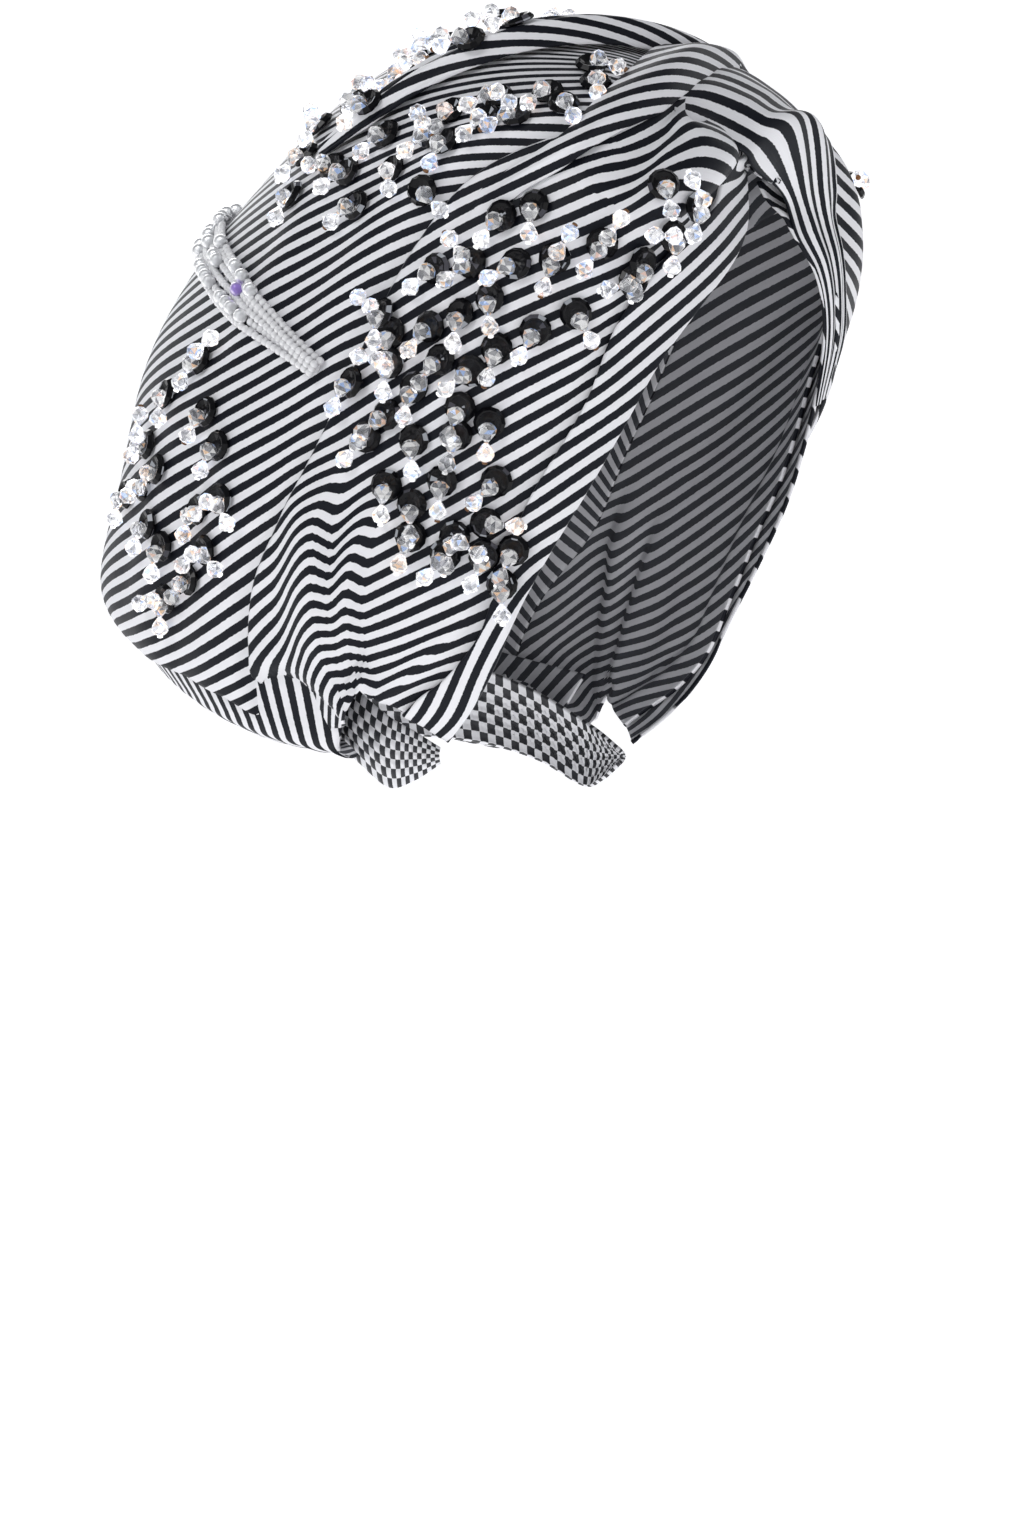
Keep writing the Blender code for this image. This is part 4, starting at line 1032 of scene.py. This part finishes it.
def cut_crystal():
    """Clear glass with a thin rainbow coat that shows on a few facets, and painted shade and glints on its facets."""
    made, nodes, links, shader = new_material("cut_crystal")
    # Base colour for each facet: the blue, orange and violet steps are the rainbow coat; the white and grey steps are
    # painted light and shade on the facets
    coat_tints_and_painted_shade = ((0.0, (0.98, 0.98, 1.0)), (0.34, (0.80, 0.82, 0.86)), (0.52, (1.0, 0.99, 0.97)), (0.70, (0.55, 0.57, 0.62)),
             (0.80, (0.62, 0.74, 1.0)), (0.84, (0.97, 0.97, 1.0)), (0.94, (1.0, 0.80, 0.62)), (0.98, (0.84, 0.74, 0.95)))
    # Painted glints: each facet glows at a step between near black and white, a few blue or orange, in place of
    # reflected light
    painted_glints = ((0.0, (1.0, 1.0, 1.0)), (0.20, (0.30, 0.31, 0.33)), (0.36, (0.02, 0.02, 0.02)), (0.52, (0.62, 0.62, 0.64)),
              (0.66, (0.05, 0.05, 0.06)), (0.80, (0.40, 0.58, 1.0)), (0.84, (0.16, 0.16, 0.18)), (0.94, (1.0, 0.62, 0.36)))
    links.new(facet_steps(nodes, links, coat_tints_and_painted_shade), shader.inputs["Base Color"])
    links.new(facet_steps(nodes, links, painted_glints), shader.inputs["Emission Color"])
    shader.inputs["Emission Strength"].default_value = 0.42
    place = nodes.new("ShaderNodeTexCoord").outputs["Object"]
    links.new(math_node(nodes, links, "MULTIPLY", noise(nodes, links, place, 500, 1), 0.08), shader.inputs["Roughness"])
    shader.inputs["Transmission Weight"].default_value = 0.80
    shader.inputs["IOR"].default_value = 1.52
    return made


def milky_glass(name, color, clear):
    made, nodes, links, shader = new_material(name)
    place = nodes.new("ShaderNodeTexCoord").outputs["Object"]
    cloud = noise(nodes, links, place, 350, 2)
    pale = tuple(0.86 * c for c in color)
    links.new(mix_color(nodes, links, cloud, color, pale), shader.inputs["Base Color"])
    links.new(math_node(nodes, links, "MULTIPLY_ADD", cloud, 0.12, 0.08), shader.inputs["Roughness"])
    shader.inputs["Transmission Weight"].default_value = clear
    shader.inputs["IOR"].default_value = 1.45
    return made


gloss, crystal = black_gloss(), cut_crystal()
seed_glass = milky_glass("milky_seed_glass", (0.95, 0.95, 0.97), 0.2)
clear_glass = milky_glass("clear_round_glass", (0.97, 0.98, 1.0), 0.6)
violet_glass = milky_glass("violet_glass", (0.45, 0.30, 0.85), 0.5)
amber_glass = milky_glass("amber_glass", (0.22, 0.10, 0.04), 0.3)

# %% Small meshes to copy
STONE_RADIUS, STONE_TABLE, STONE_HEIGHT, STONE_SEAT = 0.005, 0.0036, 0.0021, 0.0005


def turned(profile, sides, twist=0.0):
    """Rings of points round an axis, closed at both ends. Every other ring is turned by twist of a side, which
    breaks its facets into triangles as a cutter would."""
    points, faces = [], []
    for r, (radius, high) in enumerate(profile):
        for k in range(sides):
            a = 2 * math.pi * (k + (twist if r % 2 else 0)) / sides
            points.append((radius * math.cos(a), radius * math.sin(a), high))
    for r in range(len(profile) - 1):
        for k in range(sides):
            a, b = r * sides + k, r * sides + (k + 1) % sides
            c, d = a + sides, b + sides
            if twist and r % 2 == 0:
                faces += [(a, b, c), (b, d, c)]
            elif twist:
                faces += [(a, b, d), (a, d, c)]
            else:
                faces.append((a, b, d, c))
    faces.append(tuple(range(sides - 1, -1, -1)))
    faces.append(tuple(len(points) - sides + k for k in range(sides)))
    return np.array(points), faces


cup = turned(((0.0046, 0.0), (0.0050, 0.0004), (0.0050, 0.0009), (0.0040, 0.0021), (0.0035, 0.0020), (0.0016, 0.0010),
              (0.0006, 0.0009)), 12)
drop = turned(((0.0007, 0.0), (0.0015, 0.0009), (0.0027, 0.0028), (0.0029, 0.0041), (0.0019, 0.0054),
               (0.0007, 0.0059)), 7, 0.5)
stop_bead = turned(((0.0004, -0.0005), (0.0009, -0.0003), (0.0009, 0.0003), (0.0004, 0.0005)), 8)
seed = turned(((0.0003, -0.0012), (0.0009, -0.0010), (0.00125, -0.0004), (0.00125, 0.0004), (0.0009, 0.0010),
               (0.0003, 0.0012)), 10)
marble = turned([(0.0024 * math.sin(a), -0.0024 * math.cos(a)) for a in np.linspace(0.25, math.pi - 0.25, 8)], 14)


class Heap:
    """Collects copies of small meshes for one piece."""

    def __init__(self):
        self.points, self.faces, self.slots, self.facets = [], [], [], []
        self.count = 0

    def add(self, small, matrix, slot, random_facets=None):
        points, faces = small
        m = np.array(matrix)
        self.points.append(points @ m[:3, :3].T + m[:3, 3])
        self.faces += [tuple(self.count + k for k in face) for face in faces]
        self.slots += [slot] * len(faces)
        self.facets += [random_facets.random() if random_facets else 0.0 for _ in faces]
        self.count += len(points)

    def piece(self, name, finishes, smooth_slots=()):
        made = mesh_piece(name, np.concatenate(self.points), self.faces, *finishes, smooth=False)
        made.data.polygons.foreach_set("material_index", self.slots)
        made.data.polygons.foreach_set("use_smooth", [slot in smooth_slots for slot in self.slots])
        facet = made.data.attributes.new("facet", "FLOAT", "FACE")
        facet.data.foreach_set("value", self.facets)
        return made


print("cup facets:", len(cup[1]), "drop facets:", len(drop[1]))

# %% [markdown]
# ## Finding the cloth
# A stone rests on the cloth, not on the form, so its seat is found with rays shot down through the finished
# pieces: one at its middle and a ring round its edge. The plane through those hits is its seat.

# %% Rays down to the cloth
def cloth_tree():
    graph = bpy.context.evaluated_depsgraph_get()
    points, faces = [], []
    for piece in (bag, *side_pieces, brow_fold, brow_roll, inner_wrap, left_wrap, top_roll):
        mesh = piece.evaluated_get(graph).to_mesh()
        first = len(points)
        points += [v.co.copy() for v in mesh.vertices]
        faces += [tuple(first + i for i in p.vertices) for p in mesh.polygons]
    return BVHTree.FromPolygons(points, faces)


bpy.context.view_layer.update()
tree = cloth_tree()


def frame_at(share, at):
    centre = sample(FORM, share, at)
    normal = unit(sample(OUT, share, at))
    u = unit(sample(ACROSS, share, at))
    u = unit(u - normal * (u @ normal))
    return centre, normal, u, np.cross(normal, u)


def height_at(point, normal):
    hit, _, _, gone = tree.ray_cast(Vector(point + normal * 0.03), Vector(-normal), 0.06)
    return 0.03 - gone if hit else 0.0


def seat_on_cloth(share, at, radius=STONE_RADIUS):
    centre, normal, u, v = frame_at(share, at)
    ring = [centre + (u * math.cos(a) + v * math.sin(a)) * radius for a in np.arange(8) * math.pi / 4]
    heights = [height_at(p, normal) for p in ring]
    tops = [p + normal * h for p, h in zip(ring, heights)]
    tilt = -unit(np.cross(tops[2] - tops[6], tops[0] - tops[4]))
    if tilt @ normal < 0.9:
        tilt = normal
    middle = sum(tops) / 8
    tops.append(centre + normal * height_at(centre, normal))
    top = middle + tilt * max((p - middle) @ tilt for p in tops)
    u = unit(u - tilt * (u @ tilt))
    return top + tilt * STONE_SEAT, tilt, u, np.cross(tilt, u)


def basis(x, y, z, place):
    m = Matrix.Identity(4)
    for column, vector in enumerate((x, y, z, place)):
        for r in range(3):
            m[r][column] = vector[r]
    return m


# %% Where the stones are sewn
# share, at
SIDE_STONES = (
    (0.129, 0.173), (0.158, 0.191), (0.104, 0.223), (0.087, 0.273), (0.117, 0.295), (0.075, 0.300), (0.167, 0.336),
    (0.121, 0.350), (0.171, 0.368), (0.079, 0.377), (0.133, 0.386), (0.092, 0.423), (0.158, 0.423), (0.129, 0.432),
    (0.175, 0.455), (0.104, 0.468), (0.138, 0.468), (0.150, 0.500), (0.108, 0.505), (0.129, 0.518), (0.183, 0.523),
    (0.171, 0.532), (0.079, 0.541), (0.100, 0.545), (0.158, 0.555), (0.133, 0.559), (0.092, 0.573), (0.054, 0.595),
    (0.171, 0.595), (0.138, 0.600), (0.113, 0.605), (0.083, 0.627), (0.142, 0.632), (0.046, 0.645), (0.021, 0.659),
    (0.113, 0.664), (0.092, 0.668), (0.058, 0.677), (0.037, 0.682), (0.058, 0.700), (0.083, 0.700), (0.017, 0.705),
)
BACK_STONES = (
    (0.300, 0.673), (0.267, 0.705), (0.321, 0.718), (0.242, 0.723), (0.225, 0.764), (0.329, 0.768), (0.300, 0.777),
    (0.246, 0.786), (0.321, 0.800), (0.229, 0.814), (0.354, 0.818), (0.300, 0.823), (0.279, 0.832), (0.242, 0.845),
    (0.267, 0.868),
)
TOP_STONES = (
    (0.304, 0.236), (0.338, 0.245), (0.263, 0.268), (0.283, 0.282), (0.371, 0.309), (0.254, 0.314), (0.471, 0.318),
    (0.283, 0.327), (0.383, 0.327), (0.458, 0.336), (0.258, 0.341), (0.346, 0.341), (0.283, 0.364), (0.408, 0.368),
    (0.250, 0.377), (0.396, 0.377), (0.267, 0.386), (0.362, 0.395), (0.229, 0.418), (0.300, 0.423), (0.329, 0.423),
    (0.263, 0.432), (0.388, 0.436), (0.371, 0.445), (0.296, 0.468), (0.263, 0.477), (0.312, 0.477), (0.383, 0.477),
    (0.358, 0.495), (0.329, 0.518),
)


def sewn_field(name, places, node, seed_number, mirrored=False):
    """One field of ornaments. Each pair of drops turns to where its neighbours leave room."""
    chance = random.Random(seed_number)
    heap, taken = Heap(), []
    for share, at in places:
        seat, normal, u, v = seat_on_cloth(1 - share if mirrored else share, at)
        tilt = unit(normal + (u * chance.uniform(-1, 1) + v * chance.uniform(-1, 1)) * 0.10)
        x = unit(u - tilt * (u @ tilt))
        heap.add(cup, basis(x, np.cross(tilt, x), tilt, seat + normal * 0.0003), 0, chance)
        level = unit(np.array([0, 0, -1.0]) + normal * normal[2])
        pairs = 2 if chance.random() < 0.3 else 1
        for pair in range(pairs):
            best = None
            for _ in range(14):
                turn = chance.gauss(0, 0.75) + pair * chance.choice((-2.0, 2.0))
                way = unit(level * math.cos(turn) + np.cross(normal, level) * math.sin(turn))
                tip = seat + normal * 0.0034 + way * 0.0095
                room = min([np.linalg.norm(tip - other) for other in taken] + [0.012])
                if best is None or room > best[0] + 0.001:
                    best = (room, way)
            room, way = best
            if pair and room < 0.0065:
                continue
            centre = seat + normal * (0.0034 + 0.0012 * pair)
            taken += [centre + way * 0.0035, centre + way * 0.0095]
            side = np.cross(normal, way)
            low = unit(way - normal * 0.06)
            up = np.cross(low, side)
            heap.add(drop, basis(side, -up, -low, centre + low * 0.0057), 1, chance)
            heap.add(drop, basis(side, up, low, centre + low * 0.0060), 1, chance)
            heap.add(stop_bead, basis(side, up, low, centre + low * 0.0122), 2 if chance.random() < 0.3 else 1)
    piece = heap.piece(name, (gloss, crystal, amber_glass), smooth_slots=(2,))
    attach(piece, "root")
    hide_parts(node)
    print(name, len(places), "stones,", len(piece.data.polygons), "facets")
    return piece


sewn_field("side_stones_right", SIDE_STONES, "paillettes_side_right", 11)
sewn_field("back_stones_right", BACK_STONES, "paillettes_back_right", 12)
sewn_field("top_stones_right", TOP_STONES, "paillettes_top_right", 13)
left_stones = [(0.206, 0.153)] + [s for k, s in enumerate(SIDE_STONES) if k > 5 and k % 3 != 1 and s[0] > 0.07]
sewn_field("side_stones_left", left_stones, "paillettes_side_left", 14, True)
sewn_field("back_stones_left", BACK_STONES, "paillettes_back_left", 15, True)
sewn_field("top_stones_left", TOP_STONES[12:23], "paillettes_top_left", 16, True)

# %% [markdown]
# ## Strings of beads
# Seven strings of milky seed beads hang over the back of the crown from a tack on each side. They lie close
# together at the tacks and spread where they pass over the top. Larger clear beads sit among them, and one violet
# one. Each bead is placed by its distance along the string, so none is stretched.

# %% Thread the strings
TACK_SHARE, STRINGS_AT, STRINGS, BEAD = 0.196, 0.606, 6, 0.0026


def string_of_beads():
    chance = random.Random(21)
    heap = Heap()
    marks = np.linspace(0, 1, 241)
    for k in range(STRINGS):
        line, normals = [], []
        for t in marks:
            share = TACK_SHARE + (1 - 2 * TACK_SHARE) * t
            centre, normal, u, _ = frame_at(share, STRINGS_AT)
            side = unit(np.cross(normal, u))
            fan = float(ease(min(t, 1 - t) / 0.22))
            pitch = BEAD * (0.40 + 0.62 * fan)
            offset = (k - (STRINGS - 1) / 2) * pitch
            point = centre + side * offset
            wave = 0.0006 * math.sin(9 * t * (1 + 0.2 * k) + k)
            bunch = (0.0018 if k % 2 else 0.0) * (1 - fan)
            line.append(point + side * wave + normal * (height_at(point, normal) + BEAD / 2 + STONE_SEAT + bunch))
            normals.append(normal)
        line, normals = np.array(line), np.array(normals)
        run = np.concatenate([[0], np.cumsum(np.linalg.norm(np.diff(line, axis=0), axis=1))])
        place = BEAD / 2
        while place < run[-1] - BEAD / 2:
            big = k % 2 == 0 and chance.random() < 0.22 and 0.12 < place / run[-1] < 0.88
            size = 0.0048 if big else 0.0026
            spot = place + size / 2
            centre = np.array([np.interp(spot, run, line[:, axis]) for axis in range(3)])
            ahead = np.array([np.interp(min(spot + 0.001, run[-1]), run, line[:, axis]) for axis in range(3)])
            normal = unit(np.array([np.interp(spot, run, normals[:, axis]) for axis in range(3)]))
            way = unit(ahead - centre)
            lean = unit(way + 0.25 * np.array([chance.uniform(-1, 1) for _ in range(3)]))
            side = unit(np.cross(lean, normal))
            up = np.cross(side, lean)
            if big:
                violet = k == 2 and place / run[-1] < 0.20
                heap.add(marble, basis(side, up, lean, centre + normal * 0.0016), 2 if violet else 1)
            else:
                heap.add(seed, basis(side, up, lean, centre), 0)
            place += size
    heap_piece = heap.piece("strung_beads", (seed_glass, clear_glass, violet_glass), smooth_slots=(0, 1, 2))
    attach(heap_piece, "root")
    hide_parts("bead_strings")
    print("strung beads:", len(heap_piece.data.polygons), "facets")


string_of_beads()

# %% The last line
bpy.context.view_layer.update()
